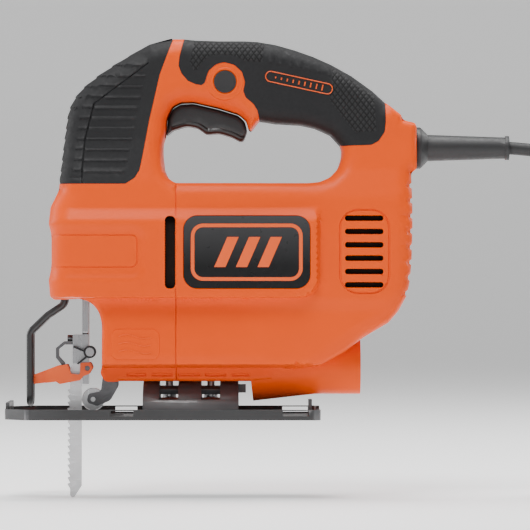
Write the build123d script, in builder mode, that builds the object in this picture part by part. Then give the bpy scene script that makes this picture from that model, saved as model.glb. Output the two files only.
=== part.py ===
from build123d import *
from math import sin, cos, tan, radians, pi
import os

# Orbital jigsaw with a tilting shoe, a tool-free blade clamp and a mains lead.
# Millimetres. Z = 0 is the sole that rides on the work, Y = 0 is the centre plane of the two
# housing halves, the nose points to -X and the blade hangs below the sole.

# ---- driving dimensions -------------------------------------------------------------------
nose_x = -61.6            # front of the gear nose
rear_x = 133.0            # rear wall of the motor body
belly_z = 20.3            # underside of the motor body, over the shoe
deck_z = 126.4            # top of the motor body, inside the hand hole
handle_top_z = 204.4      # top of the handle
body_half_width = 29.0    # motor body, either side of the centre plane
cheek_half_width = 33.0   # raised side panel round the motor
handle_half_width = 18.0  # handle, either side of the centre plane
wall = 2.6                # moulded housing wall
skin = 0.8                # rubber overmould on the nose and the handle
seam = 0.2                # gap where housing mouldings meet
seam_x = 6.5              # joint between the front and the rear mouldings
slip = 0.3                # clearance round a part that moves
running = 0.03            # radial clearance of a running fit

motor_z = 84.0            # height of the motor shaft
gear_module = 1.0
gear_teeth = 44
pinion_teeth = 8
stroke = 19.0             # travel of the blade
shaft_radius = 4.0
armature_radius = 15.0
fan_radius = 25.0
bearing_radius = 11.0

plunger_front_x = -44.4
plunger_thickness = 3.4
plunger_half_width = 6.0
yoke_half_width = 16.0

shoe_front_x = -85.2
shoe_rear_x = 83.7
shoe_half_width = 32.0
shoe_plate = 1.6          # thickness of the pressed plate
flange_height = 5.6       # top of the turned-up sides
window_half_width = 13.0
saddle_radius = 20.0      # outside of the saddle that the shoe tilts on
saddle_x = (-11.5, 39.7)
saddle_wall = 2.0
tilt_slot_width = 10.0
clamp_screw_x = (2.4, 24.8)

duct_radius = 15.0
duct_bore = 13.0
duct_rear_x = 105.3

blade_thickness = 1.2
blade_front_x = -51.2     # bottoms of the tooth gullets
blade_back_x = -44.9
blade_tip_z = -42.8
tooth_pitch = 3.39

guard_radius = 1.95
guard_leg_y = 5.2         # legs of the wire guard, either side of the centre plane
lever_pin_x = -41.6
lever_pin_z = 27.0
arm_pin_x = -29.3
arm_pin_z = 24.5

trigger_half_width = 9.5
button_radius = 5.9
button_x = 32.6
button_z = 180.7

relief_z = 145.7          # axis of the strain relief
relief_end_x = 185.7
lead_radius = 3.5
bench_z = blade_tip_z     # surface that the lead and its plug lie on
coil_turn_radius = 38.0   # middle of the put-away turns

os.makedirs("parts", exist_ok=True)


def save(part, name):
    """Label one finished piece and write it as its own STEP file."""
    part.label = name
    export_step(part, f"parts/{name}.step")


def rounded_face(corners):
    """Closed outline through (x, y, corner radius) points, as a face on the XY plane."""
    with BuildSketch(Plane.XY, mode=Mode.PRIVATE) as face:
        with BuildLine():
            Polyline(*[(x, y) for x, y, radius in corners], close=True)
        make_face()
        for x, y, radius in corners:
            if radius:
                fillet(face.vertices().sort_by_distance((x, y, 0))[0], radius)
    return face.sketch


def side_plate(corners, from_y, to_y, grow=0):
    """Plate cut to a side-view outline (x, z, corner radius), between two values of y."""
    with BuildPart(mode=Mode.PRIVATE) as plate:
        with BuildSketch(Plane.XZ.offset(-to_y)):
            add(rounded_face(corners))
            if grow:
                offset(amount=grow, kind=Kind.ARC, mode=Mode.REPLACE)
        extrude(amount=to_y - from_y)
    return plate.part


def rod(radius, start, end, hole=0):
    """Round bar, or a tube when hole is given, from one point to another."""
    axis = Vector(*end) - Vector(*start)
    with BuildPart(mode=Mode.PRIVATE) as bar:
        with BuildSketch(Plane(origin=start, z_dir=axis)):
            Circle(radius)
            if hole:
                Circle(hole, mode=Mode.SUBTRACT)
        extrude(amount=axis.length)
    return bar.part


def block(x_range, y_range, z_range):
    """Rectangular block between two values of x, of y and of z."""
    size = [high - low for low, high in (x_range, y_range, z_range)]
    middle = [(high + low) / 2 for low, high in (x_range, y_range, z_range)]
    with BuildPart(mode=Mode.PRIVATE) as solid_block:
        with Locations(tuple(middle)):
            Box(*size)
    return solid_block.part


def between(value, table):
    """Straight-line interpolation in a table of (input, output) pairs."""
    if value <= table[0][0]:
        return table[0][1]
    for (a, low), (b, high) in zip(table, table[1:]):
        if value <= b:
            return low + (high - low) * (value - a) / (b - a)
    return table[-1][1]


# ---- the housing form ---------------------------------------------------------------------
# Top edge of the tool seen from the side, nose to rear.
crown = [(nose_x + 6, 125.5), (nose_x + 9.4, 163), (nose_x + 14, 172.5), (nose_x + 20, 180),
         (-20, 194.6), (-4, handle_top_z - 1.6), (4, handle_top_z), (44, handle_top_z - 1.0),
         (60, 200.9), (80, 194.5), (100, 184.3), (118, 169.8), (127, 163), (rear_x + 2.3, 157)]
underside = [(-33, 27, 5), (-33, 64.8, 13), (nose_x + 0.6, 64.8, 3),
             (nose_x, 104, 10), (nose_x + 6, 125.5, 12), (nose_x + 6, 240, 0), (rear_x + 2.3, 240, 0),
             (rear_x + 2.3, 133.5, 1), (rear_x, 132.4, 0), (rear_x - 0.6, 74, 18),
             (120, 51.7, 14), (106, 43.4, 20), (72, 23.8, 30), (46, belly_z, 20), (-27, belly_z, 5)]
hand_hole = [(-1, deck_z, 7), (95.4, deck_z, 15), (95.4, 150, 9), (80, 157.6, 20), (50.6, 160.6, 2),
             (46.6, 153.6, 0.8), (43.4, 160.4, 3), (28, 167.2, 10), (7, 170.6, 5), (1.2, 160, 5),
             (-1, 147, 10)]
crown_flat = 8.0          # half width of the flat along the top of the handle
crown_slope = 40          # degrees that the crown falls away to the sides
nose_round = 15.0
rear_round = 8.0


def crown_prism(grow):
    """Everything under the top edge, which falls away to both sides of the centre plane."""
    below = [(220, 150), (220, -60), (-150, -60), (-150, 110)]
    half_flat = crown_flat + grow * 0.4
    with BuildPart(mode=Mode.PRIVATE) as prism:
        for side in (1, -1):
            plane = Plane(origin=(0, side * half_flat, 0), x_dir=(-side, 0, 0), z_dir=(0, side, 0))
            with BuildSketch(plane):
                with BuildLine():
                    Polyline(*[(-side * x, z - skin) for x, z in crown + below], close=True)
                make_face()
                if grow:
                    offset(amount=grow, kind=Kind.INTERSECTION, mode=Mode.REPLACE)
            extrude(amount=30, taper=crown_slope)
        with BuildSketch(Plane.XZ.offset(-half_flat)):
            with BuildLine():
                Polyline(*[(x, z - skin) for x, z in crown + below], close=True)
            make_face()
            if grow:
                offset(amount=grow, kind=Kind.INTERSECTION, mode=Mode.REPLACE)
        extrude(amount=2 * half_flat)
    return prism.part


def flank_section(grow):
    """Section across the housing: belly, shoulder, cove, flank and handle."""
    upper = [(15.5, belly_z - 15, 0), (15.5, 27.5, 1.5), (28, 28, 1.5), (body_half_width - 2, 60, 4),
             (body_half_width, 66, 4), (body_half_width - 0.5, 112, 20),
             (body_half_width - 2.8, 130, 30), (handle_half_width, 164, 40),
             (handle_half_width, 260, 0)]
    right = [(y + grow, z, max(radius, 0)) for y, z, radius in upper]
    return rounded_face(right + [(-y, z, radius) for y, z, radius in reversed(right)])


def housing_form(grow):
    """Solid form of the housing, every outer face moved out by grow."""
    half = body_half_width + grow
    with BuildPart(mode=Mode.PRIVATE) as form:
        add(side_plate(underside, -60, 60, grow))
        with BuildSketch(Plane.YZ.offset(nose_x - 10)):
            add(flank_section(grow))
        extrude(amount=rear_x + 30 - nose_x, mode=Mode.INTERSECT)
        with BuildSketch(Plane.XY):
            add(rounded_face([(nose_x - grow, -half, nose_round), (rear_x + 2.3 + grow, -half, rear_round),
                              (rear_x + 2.3 + grow, half, rear_round), (nose_x - grow, half, nose_round)]))
        extrude(amount=260, mode=Mode.INTERSECT)
        add(crown_prism(grow), mode=Mode.INTERSECT)
        add(cheek_panels(grow))
        add(side_plate(hand_hole, -60, 60, -grow), mode=Mode.SUBTRACT)
    return form.part


def cheek_panels(grow):
    """Raised panels over the motor, both sides, wrapped round the nose."""
    low, high, flat_top = 65 - grow, 114 + grow, 109.5 + grow
    half = cheek_half_width + grow
    base = body_half_width - 0.6 + grow
    with BuildPart(mode=Mode.PRIVATE) as cheeks:
        with BuildSketch(Plane.YZ.offset(nose_x - grow)):
            Polygon((-base, high), (-half, flat_top), (-half, low), (half, low), (half, flat_top),
                    (base, high), align=None)
        extrude(amount=83 - nose_x + 2 * grow)
        with BuildSketch(Plane.XY.offset(low)):
            add(rounded_face([(nose_x - grow, -half, nose_round), (83 + grow, -half, 8),
                              (83 + grow, half, 8), (nose_x - grow, half, nose_round)]))
        extrude(amount=high - low, mode=Mode.INTERSECT)
    return cheeks.part


outer_form = housing_form(0)
rubber_form = housing_form(skin)
hollow_form = housing_form(-wall)

# ---- places shared by several pieces ------------------------------------------------------
gear_z = motor_z + gear_module * (gear_teeth + pinion_teeth) / 2
gear_front_x, gear_back_x = -36.0, -28.0
plate_front_x, plate_back_x = -26.0, -22.0
front_bearing_x = (plate_back_x, plate_back_x + 7)
rear_bearing_x = (100.0, 107.0)
stator_x = (15.0, 60.0)
commutator_x = (72.0, 86.0)
brush_x = (75.0, 83.0)
plunger_back_x = plunger_front_x + plunger_thickness
crank_radius = stroke / 2
yoke_z = gear_z - crank_radius
screw_radius = 1.5
boss_radius = 4.0
screw_places = [(-14, 158), (-12, 44), (36, 40), (34, 118.5), (112, 132), (118, 64), (103, 163),
                (-16, 184)]
button_bore = button_radius + slip
stator_half = 25.0
duct_line = ((46, 0, 24.2), (80, 0, 28), (duct_rear_x, 0, 28))
badge_outline = [(10.6, 70.1, 7.5), (78.1, 70.1, 7.5), (78.1, 108.9, 7.5), (10.6, 108.9, 7.5)]
badge_thickness = 1.0
nose_pad = [(-75, 125.6, 0), (-20.4, 125.8, 3), (-13, 133.3, 3), (-11.4, 141.3, 20), (-2.4, 184.7, 30),
            (4.5, 204.2, 0), (4.5, 230, 0), (-75, 230, 0)]
grip_pad = [(10.7, 230, 0), (10.7, 203.9, 0), (8.2, 189, 3), (15.5, 179.2, 4), (22, 179, 2),
            (24, 190.5, 6), (41.5, 191, 8), (43.2, 173.5, 4), (49.6, 167.5, 2), (51, 163, 0),
            (45.5, 148, 0), (60, 138, 0), (88, 146.6, 0), (112, 146.6, 4), (118.6, 154, 4), (118.4, 169.8, 0),
            (140, 195, 0), (100, 230, 0)]


# ---- housing: four mouldings, front and rear, left and right ----------------------------
def housing_shell():
    """Hollow housing with its bosses and every opening, before it is cut into mouldings."""
    with BuildPart(mode=Mode.PRIVATE) as shell:
        add(outer_form)
        add(hollow_form, mode=Mode.SUBTRACT)
        for x, z in screw_places:
            with BuildSketch(Plane.XZ.offset(-40)):
                with Locations((x, z)):
                    Circle(boss_radius)
            extrude(amount=80)
        # walls that carry the two bearings, and the webs that join them to the housing
        for low, high in (front_bearing_x, rear_bearing_x):
            add(rod(bearing_radius + 2.5, (low, 0, motor_z), (high, 0, motor_z)))
        for z_range in ((motor_z - 32, motor_z - bearing_radius), (motor_z + bearing_radius, motor_z + 38)):
            add(block(front_bearing_x, (-9, 9), z_range))
            add(block(rear_bearing_x, (-9, 9), z_range))
        # boss that the two clamp screws of the shoe go into
        add(block((-6, 33), (-9, 9), (belly_z + 1, 31)))
        # boss round the pin of the roller arm
        add(block((arm_pin_x - 4, arm_pin_x + 4), (-9, 9), (arm_pin_z - 5, arm_pin_z + 5)))
        # ribs that hold the stator, the gear case plate and the cord clamp
        for x in (stator_x[0] + 5, stator_x[1] - 8):
            add(block((x, x + 3), (-31, 31), (motor_z - 14, motor_z + 14)))
            add(block((x, x + 3), (-stator_half, stator_half), (motor_z - 14, motor_z + 14)),
                mode=Mode.SUBTRACT)
        add(block((plate_front_x, plate_back_x), (-31, 31), (88, 110)))
        add(block((plate_front_x, plate_back_x), (-23, 23), (88, 110)), mode=Mode.SUBTRACT)
        add(block((114, 119), (-22, 22), (137, 142.2)))
        # walls that carry the plunger's two bushes
        add(block((-58, -34), (-12, 12), (66, 78)))
        add(block((-56, -34), (-12, 12), (134, 144)))
        add(outer_form, mode=Mode.INTERSECT)
        for low, high in (front_bearing_x, rear_bearing_x):
            add(rod(bearing_radius, (low, 0, motor_z), (high, 0, motor_z)), mode=Mode.SUBTRACT)
        bush = plunger_half_width + 2
        for z_range in ((58, 78), (134, 144)):
            add(block((plunger_front_x - 2, plunger_back_x + 2), (-bush, bush), z_range), mode=Mode.SUBTRACT)
        for x, z in screw_places:
            head_y = screw_head_y(x, z)
            add(rod(screw_radius, (x, -14.5, z), (x, head_y + 1, z)), mode=Mode.SUBTRACT)
            add(rod(3.2, (x, head_y, z), (x, 60, z)), mode=Mode.SUBTRACT)
        for x in clamp_screw_x:
            add(rod(2.0, (x, 0, belly_z - 2), (x, 0, 31.5)), mode=Mode.SUBTRACT)
        # button on the left side of the handle
        add(rod(button_bore, (button_x, -40, button_z), (button_x, -5, button_z)), mode=Mode.SUBTRACT)
        # mouth under the handle for the trigger
        mouth = trigger_half_width + slip
        add(block((0.4, 46.4), (-mouth, mouth), (140, 177)), mode=Mode.SUBTRACT)
        # rear hole for the strain relief and lower hole for the dust duct
        add(rod(6.5, (118, 0, relief_z), (150, 0, relief_z)), mode=Mode.SUBTRACT)
        for start, end in zip(duct_line, duct_line[1:]):
            add(rod(duct_radius, start, end), mode=Mode.SUBTRACT)
        with Locations(duct_line[1]):
            Sphere(duct_radius, mode=Mode.SUBTRACT)
        # seats of the guard wire and of the arm pin
        for y in (-guard_leg_y, guard_leg_y):
            add(rod(guard_radius, (-54, y, 60), (-54, y, 72)), mode=Mode.SUBTRACT)
        add(rod(2.0, (arm_pin_x, -9, arm_pin_z), (arm_pin_x, 9, arm_pin_z)), mode=Mode.SUBTRACT)
        # rebates that the saddle's feet swing into at full tilt
        for low_y, high_y in ((-16, -13.8), (13.8, 16)):
            add(block((saddle_x[0] - 1, saddle_x[1] + 1), (low_y, high_y), (belly_z - 1, belly_z + 1.3)),
                mode=Mode.SUBTRACT)
        # slot for the roller arm
        add(block((-45, -24.2), (-3.3, 3.3), (10, 31.5)), mode=Mode.SUBTRACT)
        # recess for the badge on both sides
        for side in (-1, 1):
            face_y = cheek_half_width * side
            low, high = sorted((face_y - badge_thickness * side, face_y + 10 * side))
            add(side_plate(badge_outline, low, high), mode=Mode.SUBTRACT)
        # cooling air goes in beside the seam and out at the back, both sides
        for side in (-1, 1):
            low, high = sorted((20 * side, 50 * side))
            for row in range(6):
                z = motor_z + 5.8 + 7.1 * (2.5 - row)
                add(block((96.9, 116.7), (low, high), (z - 1.35, z + 1.35)), mode=Mode.SUBTRACT)
            for row in range(5):
                z = motor_z + 5.4 + 7.6 * (2 - row)
                add(block((0.9, seam_x - 1), (low, high), (z - 2.4, z + 2.4)), mode=Mode.SUBTRACT)
    return shell.part


def screw_head_y(x, z):
    """Depth of a screw head: 2.4 mm under the outer face of the right-hand side."""
    half = between(z, [(60, 28.0), (112, body_half_width - 1), (130, body_half_width - 2.8),
                       (150, handle_half_width + 2.5), (164, handle_half_width)])
    return half - 4.4


shell = housing_shell()
front_zone = (-120, seam_x - seam / 2)
rear_zone = (seam_x + seam / 2, 180)
left_zone, right_zone = (-60, -seam / 2), (seam / 2, 60)
all_heights = (-10, 260)


def main_solid(part):
    """The largest solid of a cut piece, without loose slivers."""
    return part.solids().sort_by(SortBy.VOLUME)[-1]


for zone_name, x_zone in (("front", front_zone), ("rear", rear_zone)):
    for side_name, y_zone in (("left", left_zone), ("right", right_zone)):
        with BuildPart() as moulding:
            add(shell)
            add(block(x_zone, y_zone, all_heights), mode=Mode.INTERSECT)
        save(main_solid(moulding.part), f"{zone_name}_housing_{side_name}")


# ---- rubber pads moulded over the nose and the handle -------------------------------------
def rubber_pad(outline, y_zone):
    """Skin over the housing inside a side-view outline, on one side of the centre plane."""
    low, high = y_zone
    with BuildPart(mode=Mode.PRIVATE) as pad:
        add(rubber_form)
        add(side_plate(outline, low, high), mode=Mode.INTERSECT)
        add(outer_form, mode=Mode.SUBTRACT)
        add(rod(button_bore + 3.5, (button_x, -40, button_z), (button_x, 40, button_z)),
            mode=Mode.SUBTRACT)
        for x, z in screw_places:
            add(rod(3.2, (x, 4, z), (x, 40, z)), mode=Mode.SUBTRACT)
        mouth = trigger_half_width + slip
        add(block((0.4, 46.4), (-mouth, mouth), (140, 177)), mode=Mode.SUBTRACT)
    return main_solid(pad.part)


for pad_name, outline in (("nose_grip", nose_pad), ("handle_grip", grip_pad)):
    for side_name, y_zone in (("left", (-60, -seam / 2)), ("right", (seam / 2, 60))):
        save(rubber_pad(outline, y_zone), f"{pad_name}_{side_name}")

# ---- badges -------------------------------------------------------------------------------
for side_name, side in (("left", -1), ("right", 1)):
    low, high = sorted(((cheek_half_width - badge_thickness) * side, cheek_half_width * side))
    with BuildPart() as badge:
        add(side_plate(badge_outline, low, high))
        with BuildSketch(Plane.YZ.offset(0)):
            flat_top = 109.5
            Polygon((-cheek_half_width, 60), (cheek_half_width, 60), (cheek_half_width, flat_top),
                    (-cheek_half_width, flat_top), align=None)
        extrude(amount=100, mode=Mode.INTERSECT)
    save(badge.part, f"badge_{side_name}")

# ---- dust duct under the motor ------------------------------------------------------------
with BuildPart() as dust_duct:
    for radius, mode in ((duct_radius - 0.05, Mode.ADD), (duct_bore, Mode.SUBTRACT)):
        start, bend, end = duct_line
        closed = 0 if radius > duct_bore else 2.5
        add(rod(radius, (start[0] + closed, 0, start[2] + closed * 0.11), bend), mode=mode)
        add(rod(radius, bend, end), mode=mode)
        with Locations(bend):
            Sphere(radius, mode=mode)
save(main_solid(dust_duct.part), "dust_duct")

# ---- motor --------------------------------------------------------------------------------


def on_motor_axis(x_range, radius, hole=0.0):
    """Round piece on the motor axis."""
    low, high = x_range
    return rod(radius, (low, 0, motor_z), (high, 0, motor_z), hole)


shaft_bore = shaft_radius + running
with BuildPart() as front_bearing:
    add(on_motor_axis(front_bearing_x, bearing_radius, shaft_bore))
save(front_bearing.part, "front_bearing")

with BuildPart() as rear_bearing:
    add(on_motor_axis(rear_bearing_x, bearing_radius, shaft_bore))
save(rear_bearing.part, "rear_bearing")

stator_bore = armature_radius + 1.0
coil_window = (17.5, 22.5)
with BuildPart() as stator_core:
    with BuildSketch(Plane.YZ.offset(stator_x[0])):
        with Locations((0, motor_z)):
            RectangleRounded(2 * stator_half, 2 * stator_half, 8)
            Circle(stator_bore, mode=Mode.SUBTRACT)
        for z in (-sum(coil_window) / 2, sum(coil_window) / 2):
            with Locations((0, motor_z + z)):
                Rectangle(26, coil_window[1] - coil_window[0], mode=Mode.SUBTRACT)
    extrude(amount=stator_x[1] - stator_x[0])
save(stator_core.part, "stator_core")

with BuildPart() as field_coils:
    for sign in (-1, 1):
        low, high = sorted((motor_z + sign * (coil_window[0] + 0.4), motor_z + sign * (coil_window[1] - 0.4)))
        add(block((stator_x[0] - 5, stator_x[1] + 5), (-12.5, 12.5), (low, high)))
save(field_coils.part, "field_coils")

shaft_front_x = gear_front_x - 0.5
nose_pin_radius = 2.0     # front end of the shaft, inside the pinion
with BuildPart() as armature_shaft:
    add(on_motor_axis((shaft_front_x, plate_front_x - 1), nose_pin_radius))
    add(on_motor_axis((plate_front_x - 1, rear_bearing_x[1]), shaft_radius))
save(armature_shaft.part, "armature_shaft")

core_x = (stator_x[0] + 2, stator_x[1] - 2)
core_slots = 12
with BuildPart() as armature_core:
    with BuildSketch(Plane.YZ.offset(core_x[0])):
        with Locations((0, motor_z)):
            Circle(armature_radius)
            Circle(shaft_radius, mode=Mode.SUBTRACT)
            with PolarLocations(armature_radius - 2, core_slots):
                SlotOverall(5, 2, mode=Mode.SUBTRACT)
    extrude(amount=core_x[1] - core_x[0])
save(armature_core.part, "armature_core")

commutator_radius = 10.0
bar_count = 24
with BuildPart() as commutator:
    add(on_motor_axis(commutator_x, commutator_radius, shaft_radius))
    with BuildSketch(Plane.YZ.offset(commutator_x[0] + 1.5)):
        with Locations((0, motor_z)):
            with PolarLocations(commutator_radius, bar_count):
                Rectangle(1.2, 0.5)
    extrude(amount=commutator_x[1] - commutator_x[0], mode=Mode.SUBTRACT)
save(commutator.part, "commutator")

fan_x = (0.0, 8.0)
blade_count = 9
with BuildPart() as cooling_fan:
    add(on_motor_axis(fan_x, shaft_radius + 4, shaft_radius))
    add(on_motor_axis((fan_x[0], fan_x[0] + 1.6), fan_radius, shaft_radius))
    with BuildSketch(Plane.YZ.offset(fan_x[0])):
        with Locations((0, motor_z)):
            with PolarLocations(shaft_radius + (fan_radius - shaft_radius) / 2 + 1, blade_count):
                Rectangle(fan_radius - shaft_radius - 3, 1.4)
    extrude(amount=fan_x[1] - fan_x[0])
save(cooling_fan.part, "cooling_fan")

with BuildPart() as carbon_brushes:
    for side in (-1, 1):
        low, high = sorted((side * (commutator_radius + 0.1), side * 19.0))
        add(block((brush_x[0] + 1, brush_x[1] - 1), (low, high), (motor_z - 3, motor_z + 3)))
save(carbon_brushes.part, "carbon_brushes")

with BuildPart() as brush_holders:
    for side in (-1, 1):
        low, high = sorted((side * (commutator_radius + 1.5), side * 24.0))
        add(block(brush_x, (low, high), (motor_z - 4.5, motor_z + 4.5)))
        low, high = sorted((side * commutator_radius, side * 19.2))
        add(block((brush_x[0] + 0.95, brush_x[1] - 0.95), (low, high), (motor_z - 3.05, motor_z + 3.05)),
            mode=Mode.SUBTRACT)
save(brush_holders.part, "brush_holders")


# ---- reduction gear and crank -------------------------------------------------------------
def gear_solid(teeth, centre_z, x_range, bore, turn):
    """Straight-toothed wheel with slim tapered teeth, so that it always runs free."""
    pitch_radius = gear_module * teeth / 2
    root = pitch_radius - 1.15 * gear_module
    tip = pitch_radius + 0.85 * gear_module
    with BuildPart(mode=Mode.PRIVATE) as wheel:
        with BuildSketch(Plane.YZ.offset(x_range[0])):
            with Locations((0, centre_z)):
                Circle(root)
                with PolarLocations(0, teeth, start_angle=turn):
                    Polygon((root - 0.3, -0.72), (tip, -0.36), (tip, 0.36), (root - 0.3, 0.72),
                            align=None)
                Circle(bore, mode=Mode.SUBTRACT)
        extrude(amount=x_range[1] - x_range[0])
    return wheel.part


spindle_radius = 4.0
with BuildPart() as motor_pinion:
    add(gear_solid(pinion_teeth, motor_z, (gear_front_x, gear_back_x + 0.5), nose_pin_radius, 22.5 + 90))
save(motor_pinion.part, "motor_pinion")

with BuildPart() as drive_gear:
    add(gear_solid(gear_teeth, gear_z, (gear_front_x, gear_back_x), spindle_radius + running, -90))
    with Locations(Plane.YZ.offset(gear_front_x - 1)):
        with Locations((0, gear_z)):
            with PolarLocations(13, 5, start_angle=-54):
                Hole(3.2)
save(drive_gear.part, "drive_gear")

crank_pin_radius = 3.0
pin_front_x = plunger_back_x + slip   # the pin stops just short of the yoke
with BuildPart() as crank_pin:
    add(rod(crank_pin_radius, (gear_front_x, 0, yoke_z), (pin_front_x, 0, yoke_z)))
    with BuildSketch(Plane.YZ.offset(gear_front_x)):
        with Locations((0, gear_z + 11)):
            SlotOverall(16, 7)
    extrude(amount=-2.5)
save(crank_pin.part, "crank_pin")

with BuildPart() as gear_spindle:
    add(rod(spindle_radius, (gear_front_x - 0.3, 0, gear_z), (plate_back_x, 0, gear_z)))
save(gear_spindle.part, "gear_spindle")

with BuildPart() as gear_case_plate:
    with BuildSketch(Plane.YZ.offset(plate_front_x)):
        with Locations((0, (motor_z + gear_z) / 2)):
            RectangleRounded(46, 62, 12)
        with Locations((0, gear_z)):
            Circle(spindle_radius, mode=Mode.SUBTRACT)
        with Locations((0, motor_z)):
            Circle(shaft_radius + 0.5, mode=Mode.SUBTRACT)
    extrude(amount=plate_back_x - plate_front_x)
save(gear_case_plate.part, "gear_case_plate")

# ---- plunger, its bushes and the blade ----------------------------------------------------
slot_half_height = crank_pin_radius + 0.3
slot_half_length = crank_radius + crank_pin_radius + 0.6
plunger_bottom_z = 45.3
plunger_top_z = 147.0
plunger_x = (plunger_front_x, plunger_back_x)
plunger_y = (-plunger_half_width, plunger_half_width)
with BuildPart() as plunger:
    add(block(plunger_x, plunger_y, (plunger_bottom_z, plunger_top_z)))
    add(block(plunger_x, (-yoke_half_width, yoke_half_width), (yoke_z - 8, yoke_z + 8)))
    fillet(plunger.edges().filter_by(Axis.X), 1.5)
    with BuildSketch(Plane.YZ.offset(plunger_front_x)):
        with Locations((0, yoke_z)):
            SlotOverall(2 * slot_half_length, 2 * slot_half_height)
    extrude(amount=plunger_thickness, mode=Mode.SUBTRACT)
save(plunger.part, "plunger")

for bush_name, z_range in (("lower_bush", (66.5, 77.5)), ("upper_bush", (134.5, 143.5))):
    with BuildPart() as bush:
        outer = plunger_half_width + 2
        inner = plunger_half_width + 0.05
        add(block((plunger_front_x - 2, plunger_back_x + 2), (-outer, outer), z_range))
        add(block((plunger_front_x - 0.05, plunger_back_x + 0.05), (-inner, inner), z_range),
            mode=Mode.SUBTRACT)
    save(bush.part, bush_name)

with BuildPart() as blade_clamp:
    # back plate that hangs from the plunger, with the blade's block in front of it
    add(block(plunger_x, (-5, 5), (18.5, plunger_bottom_z)))
    add(block((-49.6, plunger_front_x), (-5, 5), (29.6, 45.0)))
    add(rod(2.3, (-40.1, -10.6, 35.9), (-40.1, 4, 35.9)))
    add(block((-49.7, blade_back_x + 0.05), (-blade_thickness / 2 - 0.05, blade_thickness / 2 + 0.05),
              (29, 44.0)), mode=Mode.SUBTRACT)
    add(rod(1.4, (lever_pin_x, -6, lever_pin_z), (lever_pin_x, 6, lever_pin_z)), mode=Mode.SUBTRACT)
save(main_solid(blade_clamp.part), "blade_clamp")

with BuildPart() as clamp_bolt:
    add(rod(1.7, (-52.0, 0, 43.2), (-49.6, 0, 43.2)))
    add(rod(1.7, (-52.6, 0, 43.2), (-51.4, 0, 43.2)))
save(clamp_bolt.part, "clamp_bolt")

hook_half_width = 2.8
with BuildPart() as ejector_hook:
    # bent strip in front of the clamp that throws the used blade out
    with BuildSketch(Plane.XZ.offset(-hook_half_width)):
        with BuildLine():
            Polyline((-49.7, 41.4), (-54.5, 41.4), (-58.8, 37.8), (-58.8, 32.6), (-55.4, 28.4),
                     (-53.6, 28.4), (-53.9, 29.9), (-57.1, 33.4), (-57.1, 37.2), (-54.0, 39.7),
                     (-49.7, 39.7), close=True)
        make_face()
    extrude(amount=2 * hook_half_width)
save(ejector_hook.part, "ejector_hook")

tooth_top_z = 15.7
tooth_depth = 1.5
with BuildPart() as saw_blade:
    with BuildSketch(Plane.XZ.offset(-blade_thickness / 2)):
        with BuildLine():
            teeth = [(blade_front_x, tooth_top_z)]
            count = int((tooth_top_z - blade_tip_z - 3) / tooth_pitch)
            for tooth in range(count):
                z = tooth_top_z - tooth * tooth_pitch
                teeth.append((blade_front_x - tooth_depth, z - 0.4))
                teeth.append((blade_front_x, z - tooth_pitch * 0.92))
            Polyline((blade_back_x, 43.5), (blade_front_x + 1.6, 43.5), (blade_front_x + 1.6, 29.0),
                     (blade_front_x, 27.0), *teeth, (blade_front_x, blade_tip_z + 1),
                     (blade_front_x + 1, blade_tip_z), (blade_front_x + 2.2, blade_tip_z),
                     (blade_back_x, blade_tip_z + 6.3), close=True)
        make_face()
    extrude(amount=blade_thickness)
save(saw_blade.part, "saw_blade")

with BuildPart() as clamp_spring:
    # coiled spring beside the clamp with two straight arms
    spring_y = -7.1
    with BuildSketch(Plane.XZ.offset(-spring_y)):
        with Locations((-40.1, 35.9)):
            Circle(3.4)
            Circle(2.4, mode=Mode.SUBTRACT)
        with BuildLine():
            Polyline((-42.4, 36.6), (-48.9, 39.2), (-48.9, 38.2), (-42.6, 35.6), close=True)
        make_face()
        with BuildLine():
            Polyline((-42.4, 33.6), (-47.1, 29.6), (-46.3, 29.2), (-41.6, 32.8), close=True)
        make_face()
    extrude(amount=3.2)
save(clamp_spring.part, "clamp_spring")

with BuildPart() as lever_pin:
    add(rod(1.4 - running, (lever_pin_x, -6.4, lever_pin_z), (lever_pin_x, 6.4, lever_pin_z)))
save(lever_pin.part, "lever_pin")

lever_outline = [(-70.9, 18.4, 0.6), (-70.6, 23.5, 0.6), (-58.1, 28.2, 2), (-52.2, 29.2, 1),
                 (-50.4, 24.0, 1), (-45.6, 23.6, 1), (-45.4, 30.0, 1), (-39.8, 30.2, 1.5),
                 (-38.7, 27.2, 1), (-40.6, 24.0, 1.2), (-43.8, 22.8, 1), (-45.5, 20.6, 1),
                 (-56.5, 18.5, 1), (-58.4, 19.8, 1)]
lever_cheek_y = 5.4
lever_cheek = 1.5
tongue_half_width = 2.4
with BuildPart() as clamp_lever:
    outer_y = lever_cheek_y + lever_cheek
    add(side_plate(lever_outline, -outer_y, outer_y))
    # tongue in front that passes between the legs of the guard
    for side in (-1, 1):
        low, high = sorted((side * tongue_half_width, side * 20))
        add(block((-80, -64), (low, high), (10, 40)), mode=Mode.SUBTRACT)
    # open middle, so that the two cheeks straddle the clamp and the blade
    add(block((-61, -30), (-lever_cheek_y, lever_cheek_y), (10, 40)), mode=Mode.SUBTRACT)
    add(rod(1.4 + running, (lever_pin_x, -20, lever_pin_z), (lever_pin_x, 20, lever_pin_z)),
        mode=Mode.SUBTRACT)
save(main_solid(clamp_lever.part), "clamp_lever")

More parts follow.
